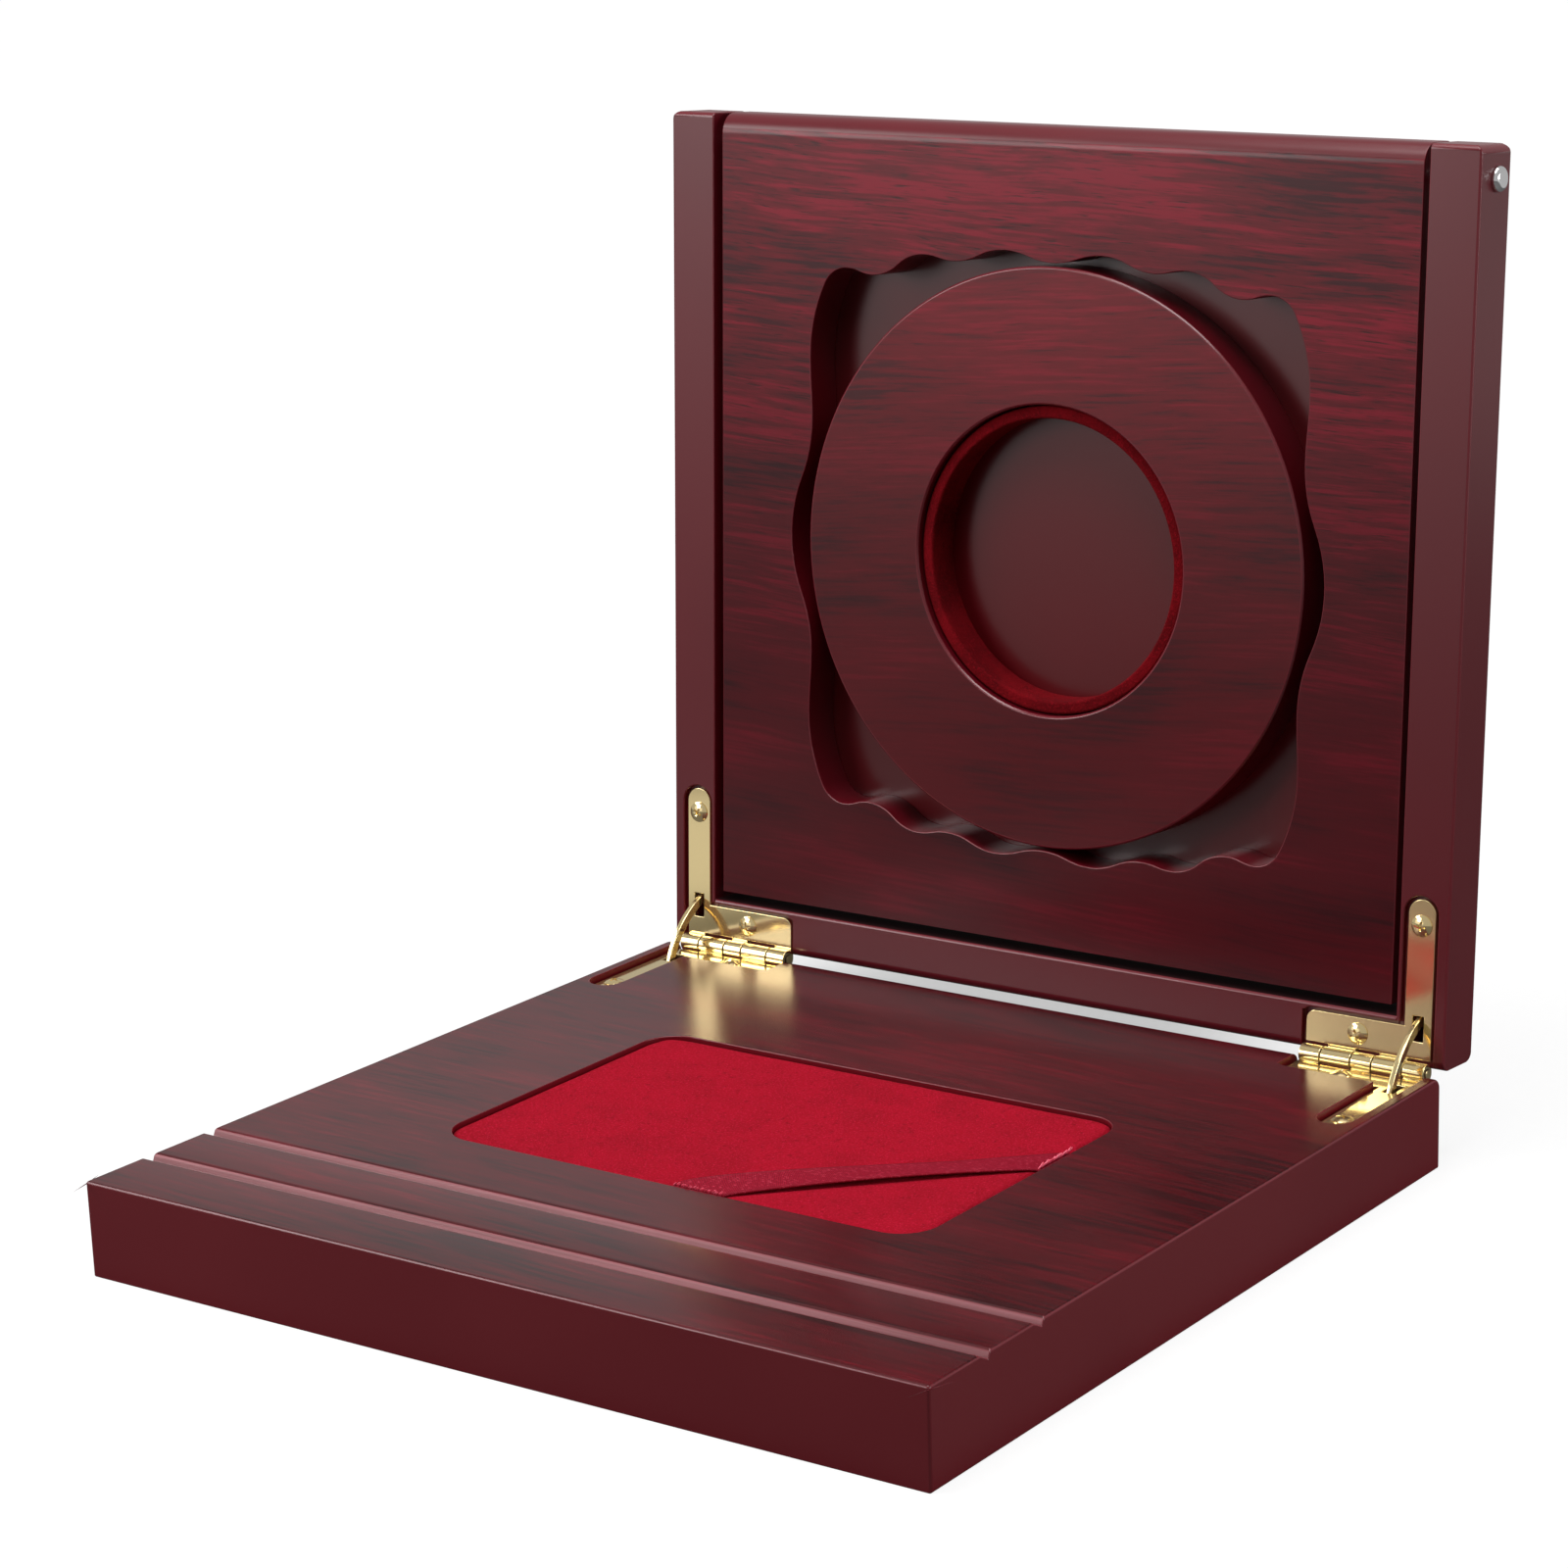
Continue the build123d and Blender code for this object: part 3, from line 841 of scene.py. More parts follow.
@dataclass
class Base:
    """Grooved base slab, the velvet card in its recess and the ribbon over the card."""

    edge_mm: float = 0.2
    groove_span_mm: Pair = (14.0, 38.0)
    groove_reach_mm: float = 2.2
    card_grid_mm: float = 1.2
    card_corner_mm: float = 7.1
    card_roll_mm: float = 0.45
    pile_out_mm: float = 0.45
    pile_up_mm: float = 0.35
    card_crown_mm: float = 0.15
    card_sag_mm: float = 0.06
    card_sag_size_mm: float = 14.0
    ribbon_width_mm: float = 8.3
    ribbon_front_inset_mm: float = 51.2
    ribbon_angle_deg: float = 44.0
    ribbon_grid: tuple[int, int] = (56, 8)
    ribbon_rest_mm: float = 0.1
    ribbon_lift_mm: float = 1.1
    ribbon_lift_far: float = 0.15
    ribbon_bulge_mm: float = 1.2
    ribbon_bulge_end: float = 0.7
    ribbon_settle_mm: float = 0.35
    ribbon_settle_share: float = 0.04
    ribbon_tuck_mm: tuple[Pair, ...] = ((0.15, 0.12), (0.07, 0.35), (0.0, 2.5))
    ribbon_thickness_mm: float = 0.35
    threads: int = 21
    thread_mm: float = 0.36
    thread_reach_mm: float = 1.7
    thread_uneven_mm: float = 0.3
    thread_rise_mm: float = 0.1
    thread_inset_mm: float = 0.6
    thread_slant_deg: float = 70.0
    thread_swing_deg: float = 14.0
    thread_lean: float = 1.3
    thread_foot: float = 0.4

    def build(self) -> list[Piece]:
        """Builds every piece of the base."""
        return [self.slab(), self.card(), self.ribbon(), *self.frays()]

    def slab(self) -> Piece:
        """The slab: film on its top and the grooves' ramps, lacquer painted with a
        highlight on the grooves' walls and the rounds, lacquer elsewhere.

        Returns:
            The piece.
        """
        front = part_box("base_block")[0].y
        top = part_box("base_block")[1].z
        start, end = (front + reach * MM for reach in self.groove_span_mm)

        def place_of(face: Face) -> int:
            """Gives 1 on the top and the grooves' ramps, 2 on their walls, 3 on rounds.

            Args:
                face: a face of the slab.

            Returns:
                Its material place, which is 0 on the sides and the underside.
            """
            middle = face.calc_center_median()
            if middle.z < top - self.groove_reach_mm * MM:
                return 0
            if face.normal.z > 0.8:
                return 1
            if start < middle.y < end and abs(face.normal.x) < 0.1:
                return 2
            return 0 if max(abs(part) for part in face.normal) > FLAT else 3

        finishes = (BASE_SIDES, BASE_FILM, GROOVES, EDGES)
        row = ("base_block", "base_slab", Slot.FILM, finishes, self.edge_mm, place_of)
        return dressed_node(*row, edge_place=3, weld_mm=WIDE_WELD_MM)

    def card(self) -> Piece:
        """The velvet card: a crowned sheet with a rolled edge, down to the recess floor.

        Returns:
            The piece.
        """
        low, high = self.card_box()
        half = (high - low) / 2
        middle = (high + low) / 2
        work = bmesh.new()
        across, along = (round(2 * part / MM / self.card_grid_mm) for part in half.xy)
        bmesh.ops.create_grid(work, x_segments=across, y_segments=along, size=1.0)
        bmesh.ops.scale(work, vec=(half.x, half.y, 1), verts=work.verts)
        for vert in work.verts:
            self.round_corner(vert, half)
            vert.co.z = self.card_height(vert.co, half)
        rim = [edge for edge in work.edges if edge.is_boundary]
        skirt = bmesh.ops.extrude_edge_only(work, edges=rim)["geom"]
        for item in skirt:
            if isinstance(item, bmesh.types.BMVert):
                item.co.z = low.z - high.z
        foot = [edge for edge in work.edges if edge.is_boundary]
        bmesh.ops.holes_fill(work, edges=foot, sides=0)
        bmesh.ops.translate(work, vec=(middle.x, middle.y, high.z), verts=work.verts)
        bmesh.ops.recalc_face_normals(work, faces=work.faces)
        card = new_piece("velvet_card", work, (CARD_VELVET,), Body.BASE, Slot.VELVET, 70.0)
        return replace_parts(card, "velvet_pad")

    def card_box(self) -> tuple[Vector, Vector]:
        """Corners of the velvet card, whose pile stands out of the bare card all round."""
        low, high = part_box("velvet_pad")
        out = self.pile_out_mm * MM
        return low - Vector((out, out, 0)), high + Vector((out, out, self.pile_up_mm * MM))

    def round_corner(self, vert: bmesh.types.BMVert, half: Vector) -> None:
        """Pulls a grid point of a square corner on to the round corner.

        Args:
            vert: the point, around the card's middle.
            half: half the card's size.
        """
        radius = self.card_corner_mm * MM
        inner = Vector((half.x - radius, half.y - radius))
        over_x = (abs(vert.co.x) - inner.x) / radius
        over_y = (abs(vert.co.y) - inner.y) / radius
        if over_x <= 0 or over_y <= 0:
            return
        round_x = over_x * sqrt(1 - over_y ** 2 / 2)
        round_y = over_y * sqrt(1 - over_x ** 2 / 2)
        vert.co.x = copysign(inner.x + round_x * radius, vert.co.x)
        vert.co.y = copysign(inner.y + round_y * radius, vert.co.y)

    def card_height(self, place: Vector, half: Vector) -> float:
        """Height of the card's surface over the level top of its box.

        Args:
            place: point on the card, around its middle.
            half: half the card's size.

        Returns:
            Height in metres.
        """
        radius = self.card_corner_mm * MM
        reach_x = max(abs(place.x) - (half.x - radius), 0.0)
        reach_y = max(abs(place.y) - (half.y - radius), 0.0)
        edge = radius - sqrt(reach_x ** 2 + reach_y ** 2)
        roll = self.card_roll_mm * MM
        drop = 0.0
        if edge < roll:
            drop = roll - sqrt(max(roll ** 2 - (roll - edge) ** 2, 0.0))
        crown = (1 - (place.x / half.x) ** 4) * (1 - (place.y / half.y) ** 4)
        sag = noise.noise(place / (self.card_sag_size_mm * MM))
        return (self.card_crown_mm * (crown - 1) + self.card_sag_mm * sag) * MM - drop

    def ribbon_ends(self) -> tuple[tuple[Vector, Vector], tuple[Vector, Vector]]:
        """The ribbon's two lines over the card's edges, seen from above.

        Returns:
            Far and near point on the front edge, and far and near point on the right edge.
        """
        low, high = self.card_box()
        angle = radians(self.ribbon_angle_deg)
        width = self.ribbon_width_mm * MM
        front_x = high.x - self.ribbon_front_inset_mm * MM
        front = Vector((front_x, low.y, 0))
        side = Vector((high.x, low.y + (high.x - front_x) * tan(angle), 0))
        along_front = Vector((width / (2 * sin(angle)), 0, 0))
        along_side = Vector((0, width / (2 * cos(angle)), 0))
        return (
            (front - along_front, front + along_front),
            (side + along_side, side - along_side),
        )

    def ribbon(self) -> Piece:
        """The ribbon: woven strip over the card's corner, its ends tucked down beside it.

        Returns:
            The piece.
        """
        front, side = self.ribbon_ends()
        top = self.card_box()[1].z + self.ribbon_rest_mm * MM
        rows, columns = self.ribbon_grid
        work = bmesh.new()
        weave = work.loops.layers.uv.new("weave")
        bmesh.ops.create_grid(work, x_segments=rows, y_segments=columns, size=0.5)
        length = ((side[0] + side[1]) / 2 - (front[0] + front[1]) / 2).length
        for face in work.faces:
            for loop in face.loops:
                along = (loop.vert.co.x + 0.5) * length
                loop[weave].uv = (loop.vert.co.y * self.ribbon_width_mm * MM, along)
        for vert in work.verts:
            share, across = vert.co.x + 0.5, vert.co.y + 0.5
            start = front[0].lerp(front[1], across)
            vert.co = start.lerp(side[0].lerp(side[1], across), share)
            vert.co.z = top + self.ribbon_height(share, across)
        low, high = self.card_box()
        for axis, reach, out in (("y", low.y, -1), ("x", high.x, 1)):
            self.tuck(work, axis, reach, out)
        bmesh.ops.recalc_face_normals(work, faces=work.faces)
        strap = new_piece("ribbon", work, (WEAVE,), Body.BASE, Slot.RIBBON, 60.0)
        thick = strap.modifiers.new("thickness", "SOLIDIFY")
        thick.thickness = self.ribbon_thickness_mm * MM
        thick.offset = 0.0
        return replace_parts(strap, "ribbon_strap")

    def ribbon_height(self, share: float, across: float) -> float:
        """How far the ribbon stands over the card.

        Args:
            share: 0 at its front end and 1 at its right end.
            across: 0 at its far edge and 1 at its near edge.

        Returns:
            Height in metres.
        """
        arch = sin(pi * share) ** 0.7
        lift = self.ribbon_lift_far + (1 - self.ribbon_lift_far) * across
        along = min(share / self.ribbon_bulge_end, 1.0) ** 0.5
        bulge = self.ribbon_bulge_mm * sin(pi * along) * (1 - across)
        near_end = max(1 - min(share, 1 - share) / self.ribbon_settle_share, 0.0)
        settle = self.ribbon_settle_mm * near_end ** 2
        return (self.ribbon_lift_mm * arch * lift + bulge - settle) * MM

    def tuck(self, work: Work, axis: str, reach: float, out: int) -> None:
        """Turns an end of the ribbon down into the gap beside the card.

        Args:
            work: the ribbon's mesh.
            axis: the axis across the card's edge there.
            reach: where the card's edge lies on that axis, in metres.
            out: which way is off the card, as a sign.
        """
        ends = [
            edge
            for edge in work.edges
            if all(abs(getattr(vert.co, axis) - reach) < 0.01 * MM for vert in edge.verts)
        ]
        for step_out, step_down in self.ribbon_tuck_mm:
            grown = bmesh.ops.extrude_edge_only(work, edges=ends)["geom"]
            ends = [item for item in grown if isinstance(item, bmesh.types.BMEdge)]
            verts = {item for item in grown if isinstance(item, bmesh.types.BMVert)}
            ends = [edge for edge in ends if verts.issuperset(edge.verts)]
            for vert in verts:
                setattr(vert.co, axis, getattr(vert.co, axis) + out * step_out * MM)
                vert.co.z -= step_down * MM

    def frays(self) -> list[Piece]:
        """The sealed thread ends that curl up at the ribbon's two cut edges.

        Returns:
            One piece for each end.
        """
        front, side = self.ribbon_ends()
        top = Vector((0, 0, self.card_box()[1].z + self.thread_rise_mm * MM))
        made = []
        for name, (start, end), out in (
            ("ribbon_fray_front", front, Vector((0, -1, 0))),
            ("ribbon_fray_right", side, Vector((1, 0, 0))),
        ):
            work = bmesh.new()
            for index in range(self.threads):
                place = start.lerp(end, (index + 0.5) / self.threads) + top
                place -= out * self.thread_inset_mm * MM
                slant = self.thread_slant_deg + self.thread_swing_deg * sin(index * 2.4)
                lean = Matrix.Rotation(radians(slant), 3, "Z") @ out
                reach = self.thread_reach_mm + self.thread_uneven_mm * sin(index * 1.7)
                self.thread(work, place, lean, reach * MM)
            made.append(new_piece(name, work, (FRAY,), Body.BASE, Slot.RIBBON, 60.0))
        return made

    def thread(self, work: Work, place: Vector, lean: Vector, reach: float) -> None:
        """Adds one sealed thread end, a short bead that stands up and leans.

        Args:
            work: the mesh that takes it.
            place: the thread's place on the card, in metres.
            lean: direction that it points, level.
            reach: its length in metres.
        """
        made = bmesh.ops.create_uvsphere(work, u_segments=8, v_segments=6, radius=0.5)
        width = self.thread_mm * MM
        stretch = Matrix.Diagonal((width, width, reach)).to_4x4()
        aim = (lean * self.thread_lean + Vector((0, 0, 1))).normalized()
        turn = Vector((0, 0, 1)).rotation_difference(aim).to_matrix().to_4x4()
        move = Matrix.Translation(place + aim * reach * self.thread_foot)
        bmesh.ops.transform(work, matrix=move @ turn @ stretch, verts=made["verts"])


@dataclass
class LidFrame:
    """Two stiles and the bottom rail that carry the display panel."""

    edge_mm: float = 0.3
    rail_edge_mm: float = 0.14

    def build(self) -> list[Piece]:
        """Builds the frame's three boards.

        Returns:
            The pieces.
        """
        made = []
        finishes = (SIDES, EDGES, PAINTED_GAP_SHADE)
        for name, edge_mm, place_of in (
            ("left_stile", self.edge_mm, self.stile_place),
            ("right_stile", self.edge_mm, self.stile_place),
            ("bottom_rail", self.rail_edge_mm, self.rail_place),
        ):
            row = (f"lid_{name}", name, Slot.LACQUER, finishes, edge_mm, place_of)
            made.append(dressed_node(*row, edge_place=1, weld_mm=WIDE_WELD_MM))
        return made

    def in_lid(self, face: Face) -> Vector:
        """A face's normal in the lid's own frame."""
        return LID.matrix.to_3x3().transposed() @ face.normal

    def stile_place(self, face: Face) -> int:
        """Lacquer painted lighter as a highlight on the rounded edges, satin lacquer on the
        flat faces.
        """
        return int(max(abs(part) for part in self.in_lid(face)) < FLAT)

    def rail_place(self, face: Face) -> int:
        """As on the stiles, but painted near black as shade in the gap under the panel."""
        return 2 if self.in_lid(face).y > 0.9 else self.stile_place(face)


@dataclass
class DisplayPanel:
    """Panel that turns between the stiles, with the coin ring and its velvet seat."""

    edge_mm: float = 0.22
    ring_edge_mm: float = 0.15
    pin_edge_mm: float = 0.1
    ring_centre_mm: float = 97.2
    hole_radius_mm: float = 33.6
    face_step_mm: float = 1.0
    board_mm: float = 9.5
    liner_gap_mm: float = 0.3
    liner_wall_mm: float = 2.7
    liner_drop_mm: float = 1.5
    liner_lip_mm: float = 0.6
    lip_steps: int = 8

    def build(self) -> list[Piece]:
        """Builds the two boards, the ring, the seat and the two pins.

        Returns:
            The pieces.
        """
        front = (SIDES, PANEL_FILM, EDGES)
        back = (SIDES, FLOORS, PANEL_FILM)
        island = (SIDES, RING_FILM, EDGES)
        edge, ring_edge = self.edge_mm, self.ring_edge_mm
        wood, film = Slot.LACQUER, Slot.FILM
        rows = (
            ("panel_face_board", "panel_board", film, front, edge, self.face_place, 2),
            ("panel_back_board", "panel_back", wood, back, edge, self.back_place),
            ("coin_ring", "coin_island", film, island, ring_edge, self.ring_place, 2),
        )
        made = [dressed_node(*row) for row in rows]
        made.append(self.seat())
        for side in Side:
            node, name = f"pivot_pin_{side.word}", f"{side.word}_panel_pin"
            made.append(dressed_node(node, name, Slot.NICKEL, (NICKEL,), self.pin_edge_mm))
        return made

    def face_place(self, face: Face) -> int:
        """Film on the board's face, lacquer round its edges."""
        return int(face.normal.dot(LID.out) > FACING)

    def back_place(self, face: Face) -> int:
        """Polished floor of the opening in front, film behind, lacquer round the edges."""
        facing = face.normal.dot(LID.out)
        return 1 if facing > FACING else 2 if facing < -FACING else 0

    def ring_place(self, face: Face) -> int:
        """Film on the ring's face, lacquer painted lighter as a highlight on its bevels,
        lacquer on its walls.
        """
        facing = face.normal.dot(LID.out)
        return 1 if facing > FACING else 2 if facing > 0.3 else 0

    def seat(self) -> Piece:
        """Velvet covered ring in the coin hole, with a rolled lip.

        Returns:
            The piece.
        """
        outer = self.hole_radius_mm - self.liner_gap_mm
        inner = outer - self.liner_wall_mm
        lip = self.liner_lip_mm
        top = -self.face_step_mm - self.liner_drop_mm - lip
        floor = -self.face_step_mm - self.board_mm
        turns = [pi / 2 * step / self.lip_steps for step in range(self.lip_steps + 1)]
        profile = [(outer, floor)]
        for middle, start in ((outer - lip, 0.0), (inner + lip, pi / 2)):
            for turn in turns:
                angle = start + turn
                profile.append((middle + lip * cos(angle), top + lip * sin(angle)))
        profile.append((inner, floor))
        work = revolved(profile, 120, closed=True)
        centre = Vector((0, self.ring_centre_mm, 0)) * MM
        move = LID.matrix @ Matrix.Translation(centre)
        bmesh.ops.transform(work, matrix=move, verts=work.verts)
        seat = new_piece(
            "velvet_seat", work, (SEAT_VELVET,), Body.PANEL, Slot.DARK_VELVET, 60.0
        )
        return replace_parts(seat, "coin_seat_liner")


@dataclass
class Hinge:
    """Quadrant stop hinge: two L shaped leaves, a pin and a curved stay."""

    side: Side
    leaf_edge_mm: float = 0.14
    stay_edge_mm: float = 0.25

    def build(self) -> list[Piece]:
        """Builds the hinge's leaves, pin and stay.

        Returns:
            The pieces.
        """
        made = []
        for part, *looks in (
            ("base_leaf", (BRASS,), self.leaf_edge_mm),
            ("lid_leaf", (BRASS,), self.leaf_edge_mm),
            ("pin", (BRASS, PIN_PAINTED_SHADE), self.leaf_edge_mm, self.pin_place),
            ("stay", (BRASS,), self.stay_edge_mm),
        ):
            name = f"{self.side.word}_{part}"
            made.append(dressed_node(f"hinge_{name}", name, Slot.BRASS, *looks))
        return made

    def pin_place(self, face: Face) -> int:
        """Brass on the pin's ends, painted dark inside the barrel as the shade in the gaps
        between the knuckles.
        """
        return int(abs(face.normal.x) < 0.5)


@dataclass
class Screws:
    """Raised countersunk screws with a cross recess, four to each half of the box."""

    head_radius_mm: float = 2.35
    head_height_mm: float = 0.8
    rim_mm: float = 0.18
    dome_steps: int = 8
    neck_radius_mm: float = 1.1
    length_mm: float = 8.0
    recess_arm_mm: float = 1.35
    recess_width_mm: float = 0.5
    recess_depth_mm: float = 0.85
    recess_taper: float = 0.45
    recess_start_mm: float = 0.2
    leaf_top_mm: float = -1.1
    short_place_mm: Pair = (79.5, 5.8)
    long_place_mm: Pair = (93.45, 31.0)
    turns_deg: tuple[float, ...] = (12.0, 58.0, 33.0, 80.0)

    def build(self) -> list[Piece]:
        """Builds the base's four screws and the lid's four.

        Returns:
            Two pieces.
        """
        axis = Matrix.Translation(Vector((0, LID.hinge_y, LID.hinge_z)) * MM)
        on_base = axis @ Matrix.Rotation(pi, 4, "Z")
        on_lid = axis @ Matrix.Rotation(radians(90 - LID.lean_deg), 4, "X")
        made = []
        for name, node, body, move in (
            ("base_screws", "base_hinge_screws", Body.BASE, on_base),
            ("lid_screws", "lid_hinge_screws", Body.LID, on_lid),
        ):
            work = self.set_of_four(move)
            piece = new_piece(name, work, (BRASS,), body, Slot.BRASS, 35.0)
            made.append(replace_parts(piece, node))
        return made

    def set_of_four(self, move: Matrix) -> Work:
        """Four screws of one half: two to each hinge.

        Args:
            move: from the hinge axis to the box, in metres.

        Returns:
            The mesh of all four. The caller frees it.
        """
        one = self.one_screw()
        work = bmesh.new()
        places = [
            (side.value * x, reach)
            for side in Side
            for x, reach in (self.short_place_mm, self.long_place_mm)
        ]
        for (x, reach), turn in zip(places, self.turns_deg):
            place = Matrix.Translation(Vector((x, reach, self.leaf_top_mm)) * MM)
            spun = one.copy()
            spun.transform(move @ place @ Matrix.Rotation(radians(turn), 4, "Z"))
            work.from_mesh(spun)
        return work

    def one_screw(self) -> bpy.types.Mesh:
        """One screw with its head's underside at zero, its cross recess cut by a boolean.

        Returns:
            The screw's mesh.
        """
        rise, rim = self.head_height_mm, self.head_radius_mm
        dome = rise - self.rim_mm
        sphere = (rim ** 2 + dome ** 2) / (2 * dome)
        profile = [(0.0, rise)]
        for step in range(1, self.dome_steps + 1):
            radius = rim * step / self.dome_steps
            profile.append((radius, rise - sphere + sqrt(sphere ** 2 - radius ** 2)))
        neck, tip = self.neck_radius_mm, -self.length_mm
        profile += [(rim, 0.0), (neck, 0.0), (neck, tip), (0.0, tip)]
        head = finished_mesh("screw_blank", revolved(profile, 40, closed=False))
        blank = linked_object("screw_blank", head)
        cutter = linked_object("cross_cutter", self.cross_cutter())
        cut = blank.modifiers.new("cross_recess", "BOOLEAN")
        cut.operation = "DIFFERENCE"
        cut.object = cutter
        cut.solver = "EXACT"
        bpy.context.view_layer.update()
        shown = blank.evaluated_get(bpy.context.evaluated_depsgraph_get())
        mesh = bpy.data.meshes.new_from_object(shown)
        for item in (blank, cutter):
            bpy.data.objects.remove(item)
        return mesh

    def cross_cutter(self) -> bpy.types.Mesh:
        """Cross with tapered arms that cuts the recess.

        Returns:
            The cutter's mesh.
        """
        work = bmesh.new()
        bmesh.ops.create_grid(work, x_segments=3, y_segments=3, size=1.0)
        corners = [
            face
            for face in work.faces
            if min(abs(part) for part in face.calc_center_median().xy) > 0.5
        ]
        bmesh.ops.delete(work, geom=corners, context="FACES")
        grown = bmesh.ops.extrude_face_region(work, geom=list(work.faces))["geom"]
        low = {item for item in grown if isinstance(item, bmesh.types.BMVert)}
        for vert in work.verts:
            arm = self.recess_arm_mm * (self.recess_taper if vert in low else 1)
            x, y = (
                copysign(arm if abs(part) > 0.5 else self.recess_width_mm / 2, part)
                for part in vert.co.xy
            )
            top = self.head_height_mm + self.recess_start_mm
            height = top - (self.recess_depth_mm if vert in low else 0)
            vert.co = Vector((x, y, height)) * MM
        bmesh.ops.recalc_face_normals(work, faces=work.faces)
        return finished_mesh("cross_cutter", work)


@dataclass(frozen=True)
class Zone:
    """A patch of the floor where the paper gives another light, and which fades outwards.

    The fade's two numbers are distances from the middle, in reaches.
    """

    light: float
    fade: Pair
    middle_mm: Triple = (0.0, 0.0, 0.0)
    reach_mm: Triple = (1.0, 1.0, 1.0)


@dataclass(frozen=True)
class SeamlessPaper(Finish):
    """Pale paper sweep.

    Matt and even in colour. The camera sees it brighter than it is lit, so that it reads as
    white and keeps only a soft trace of the box's shadow, plus a painted shadow on the
    paper behind the box. Glossy faces mirror it brighter too, but see painted darkness near
    the box and a painted bright patch off the box's left front.
    """

    name: str = "pale_seamless_paper"
    colour: str = "#727272"
    fibre: str = "#767676"
    fibres: Pattern = Pattern(3.0, (0.3, 0.7))
    seen: float = 1.0
    seen_zones: tuple[Zone, ...] = (
        Zone(0.88, (350.0, 900.0)),
        # Painted shadow: a darker patch of paper behind the box, seen through the gap under
        # the lid
        Zone(0.48, (0.45, 1.2), (-37.0, 140.0, 0.0), (78.0, 42.0, 1000.0)),
    )
    mirrored: float = 0.47
    mirrored_zones: tuple[Zone, ...] = (
        # Painted reflection: glossy faces see no paper light near the box, and a bright
        # painted patch off its left front
        Zone(0.0, (700.0, 1200.0)),
        Zone(0.55, (0.6, 1.0), (-260.0, -90.0, 0.0), (110.0, 150.0, 1000.0)),
    )

    def surface(self, nodes: Nodes) -> Socket:
        """Builds the matt paper and the light that the camera and glossy faces see."""
        colour, _ = nodes.stained(self.colour, self.fibre, self.fibres)
        sockets = {"Base Color": colour, "Roughness": 0.95, "Specular IOR Level": 0.0}
        paper = nodes.add("BsdfPrincipled", sockets).outputs["BSDF"]
        shares = {
            "Is Camera Ray": self.zoned(nodes, self.seen, self.seen_zones),
            "Is Glossy Ray": self.zoned(nodes, self.mirrored, self.mirrored_zones),
        }
        strength = {"Strength": nodes.seen_strength(shares)}
        glow = nodes.add("Emission", strength).outputs["Emission"]
        return nodes.add("AddShader", {0: paper, 1: glow}).outputs["Shader"]

    def zoned(self, nodes: Nodes, light: Value, zones: tuple[Zone, ...]) -> Value:
        """Adds a light that differs from zone to zone of the floor.

        Args:
            nodes: the material's nodes.
            light: the light outside the zones.
            zones: the zones, each of which lies over those before it.

        Returns:
            The light.
        """
        for zone in zones:
            place = nodes.add("TexCoord").outputs["Object"]
            for operation, lengths in (
                ("SUBTRACT", zone.middle_mm),
                ("DIVIDE", zone.reach_mm),
            ):
                sockets = {0: place, 1: tuple(length * MM for length in lengths)}
                place = nodes.add("VectorMath", sockets, operation=operation).outputs[0]
            away = nodes.add("VectorMath", {0: place}, operation="LENGTH")
            sockets = {
                "Value": away.outputs["Value"],
                "From Min": zone.fade[0],
                "From Max": zone.fade[1],
            }
            mask = nodes.add("MapRange", sockets, **SOFT).outputs["Result"]
            sockets = {MIX_FACTOR: mask, NUMBER_A: zone.light, NUMBER_B: light}
            light = nodes.add("Mix", sockets, data_type="FLOAT").outputs[0]
        return light


@dataclass(frozen=True)
class Softbox:
    """A soft lamp that looks at the middle of the box."""

    name: str
    place_mm: Triple
    size_mm: Pair
    watts: float

    def build(self, target: Vector) -> None:
        """Hangs the lamp and turns it to its target.

        Args:
            target: the point that it looks at, in metres.
        """
        lamp = bpy.data.lights.new(self.name, "AREA")
        lamp.energy = self.watts
        lamp.shape = "RECTANGLE"
        lamp.size = self.size_mm[0] * MM
        lamp.size_y = self.size_mm[1] * MM
        holder = linked_object(self.name, lamp)
        holder.location = Vector(self.place_mm) * MM
        aim = (target - holder.location).to_track_quat("-Z", "Y")
        holder.rotation_euler = aim.to_euler()
        holder.visible_camera = False


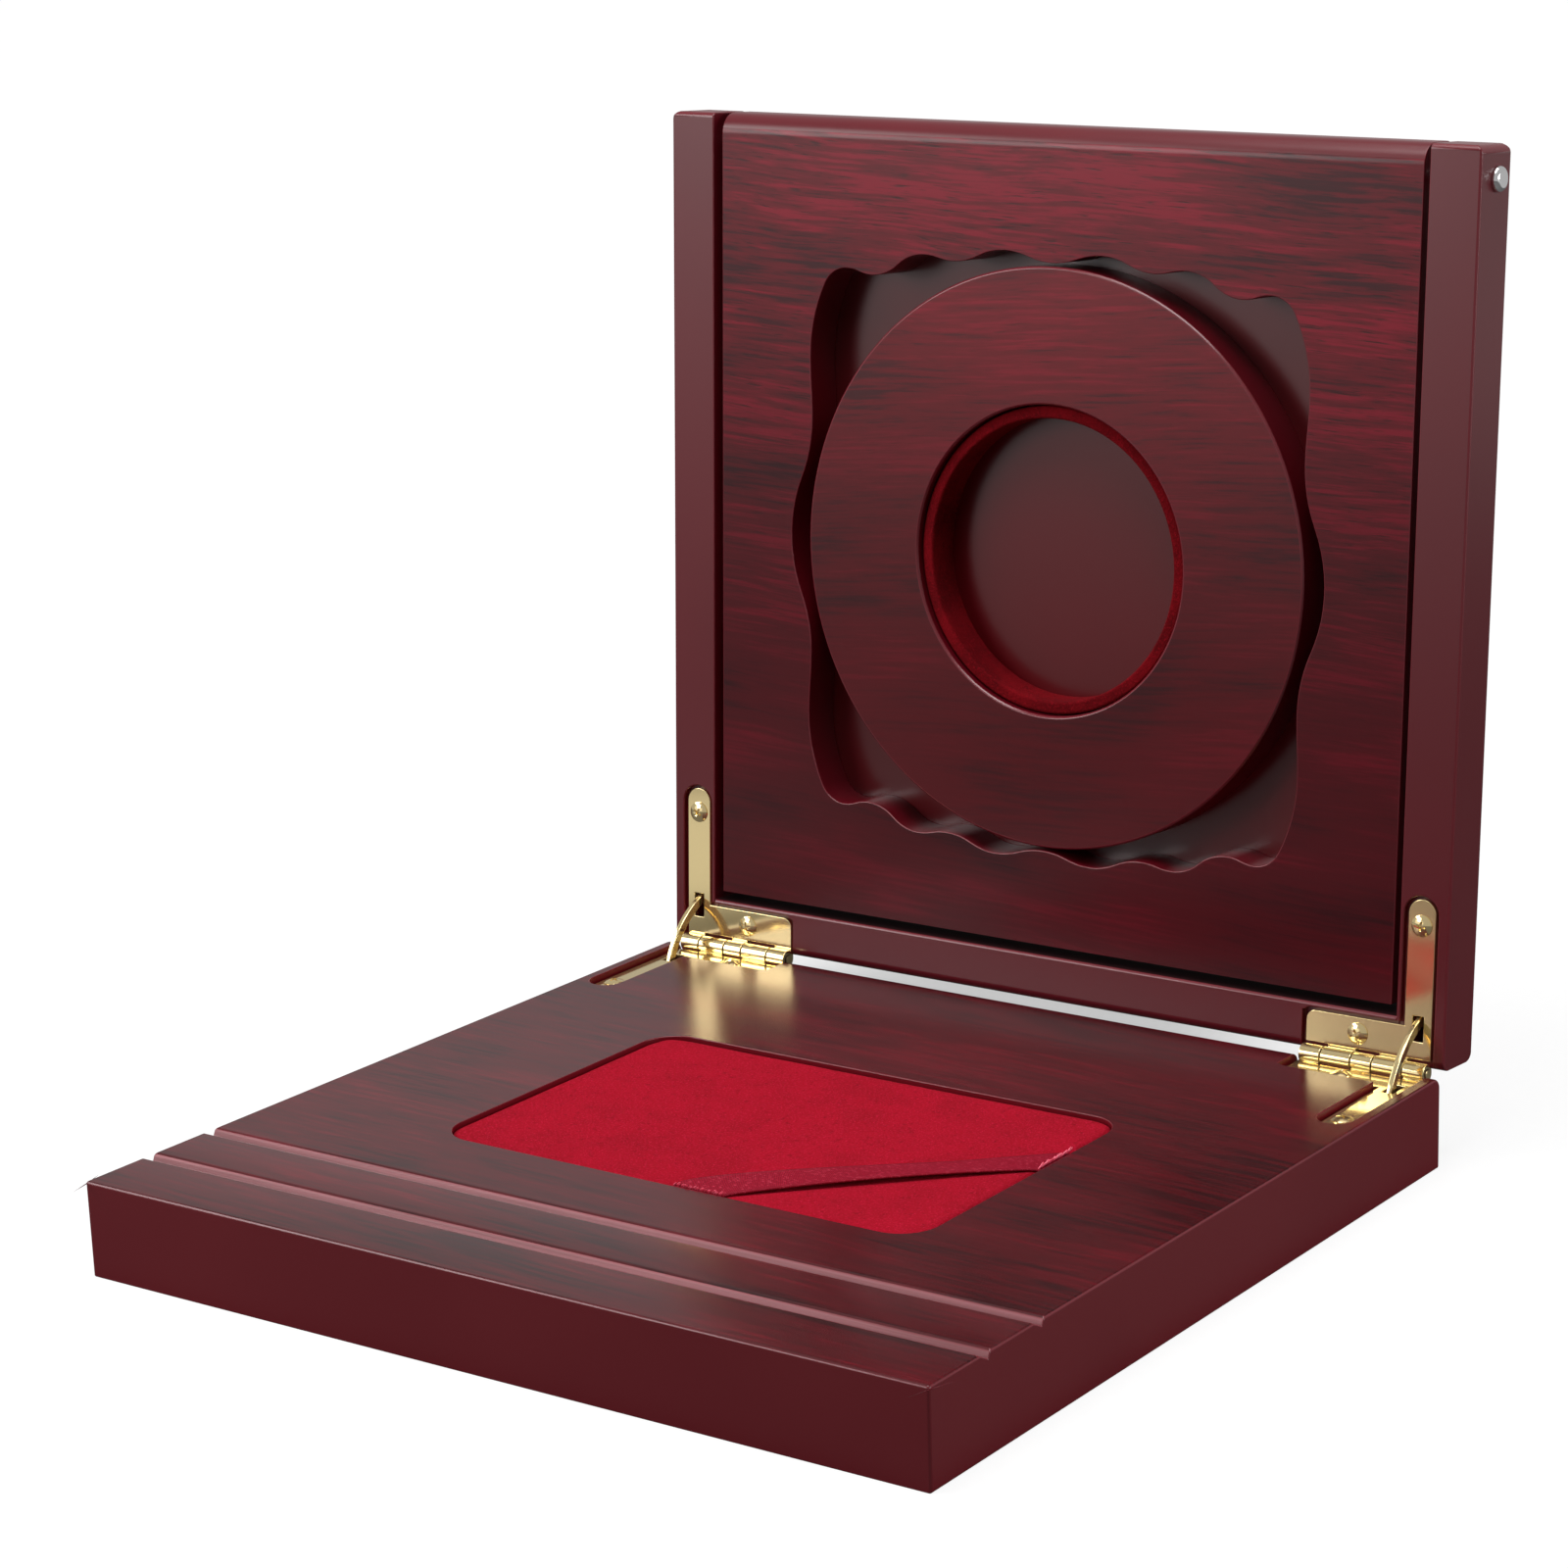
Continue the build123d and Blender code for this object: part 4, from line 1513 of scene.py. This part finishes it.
@dataclass
class Studio:
    """Paper floor, soft lamps, plain surroundings and the camera."""

    paper_mm: float = 24000.0
    surround: str = "#FFFFFF"
    surround_light: float = 0.03
    surround_mirrored: float = 0.47
    lamps: tuple[Softbox, ...] = (
        Softbox("key_softbox", (-950.0, -550.0, 750.0), (500.0, 500.0), 4.4),
        Softbox("low_softbox", (-700.0, -900.0, 500.0), (400.0, 400.0), 3.9),
        Softbox("standing_softbox", (-900.0, -1300.0, 290.0), (1500.0, 480.0), 1.4),
        Softbox("top_softbox", (0.0, 0.0, 1300.0), (800.0, 800.0), 9.2),
        Softbox("rim_softbox", (0.0, -150.0, 700.0), (400.0, 250.0), 1.3),
        Softbox("side_softbox", (1300.0, 320.0, 350.0), (600.0, 400.0), 7.0),
    )
    target_mm: Triple = (0.0, 0.0, 80.0)
    eye_mm: Triple = (462.79, -619.513, 291.543)
    turn_deg: Triple = (73.223, 1.2018, 33.569)
    focal_px: float = 4139.471
    centre_px: Pair = (985.660, 958.681)
    picture_px: float = 1600.0
    sensor_mm: float = 36.0

    def build(self) -> None:
        """Builds the floor, the lamps, the surroundings and the camera."""
        self.floor()
        for lamp in self.lamps:
            lamp.build(Vector(self.target_mm) * MM)
        self.surroundings()
        self.camera()
        bpy.context.scene.view_settings.view_transform = "Standard"

    def floor(self) -> None:
        """Lays the paper on the level that the box rests on."""
        work = bmesh.new()
        half = self.paper_mm / 2 * MM
        bmesh.ops.create_grid(work, x_segments=1, y_segments=1, size=half)
        mesh = finished_mesh("paper_floor", work)
        mesh.materials.append(SeamlessPaper().material())
        paper = linked_object("paper_floor", mesh)

    def surroundings(self) -> None:
        """Even light from all round, seen as white behind the paper."""
        world = bpy.data.worlds.new("studio_surround")
        world.use_nodes = True
        world.node_tree.nodes.clear()
        nodes = Nodes(world.node_tree)
        shares = {
            "Is Camera Ray": 1.0,
            "Is Glossy Ray": self.surround_mirrored,
            "Is Transmission Ray": self.surround_mirrored,
            "Is Diffuse Ray": self.surround_light,
            "Is Shadow Ray": self.surround_light,
        }
        sockets = {"Color": self.surround, "Strength": nodes.seen_strength(shares)}
        glow = nodes.add("Background", sockets).outputs["Background"]
        nodes.add("OutputWorld", {"Surface": glow})
        bpy.context.scene.world = world

    def camera(self) -> None:
        """Stands the camera where the picture was taken from."""
        lens = bpy.data.cameras.new("picture_camera")
        lens.sensor_width = self.sensor_mm
        lens.lens = self.focal_px / self.picture_px * self.sensor_mm
        lens.shift_x = (self.picture_px / 2 - self.centre_px[0]) / self.picture_px
        lens.shift_y = (self.centre_px[1] - self.picture_px / 2) / self.picture_px
        lens.clip_start = 0.05
        lens.clip_end = 50.0
        holder = linked_object("picture_camera", lens)
        holder.location = Vector(self.eye_mm) * MM
        holder.rotation_euler = Euler([radians(turn) for turn in self.turn_deg], "XYZ")
        bpy.context.scene.camera = holder


def main() -> None:
    """Builds the dressed box and its studio in order."""
    logging.basicConfig(level=logging.INFO, format="%(name)s: %(message)s")
    pieces = [
        *Base().build(),
        *LidFrame().build(),
        *DisplayPanel().build(),
        *Hinge(Side.LEFT).build(),
        *Hinge(Side.RIGHT).build(),
        *Screws().build(),
    ]
    LOG.info("%d pieces", len(pieces))
    Studio().build()


if __name__ == "__main__":
    main()
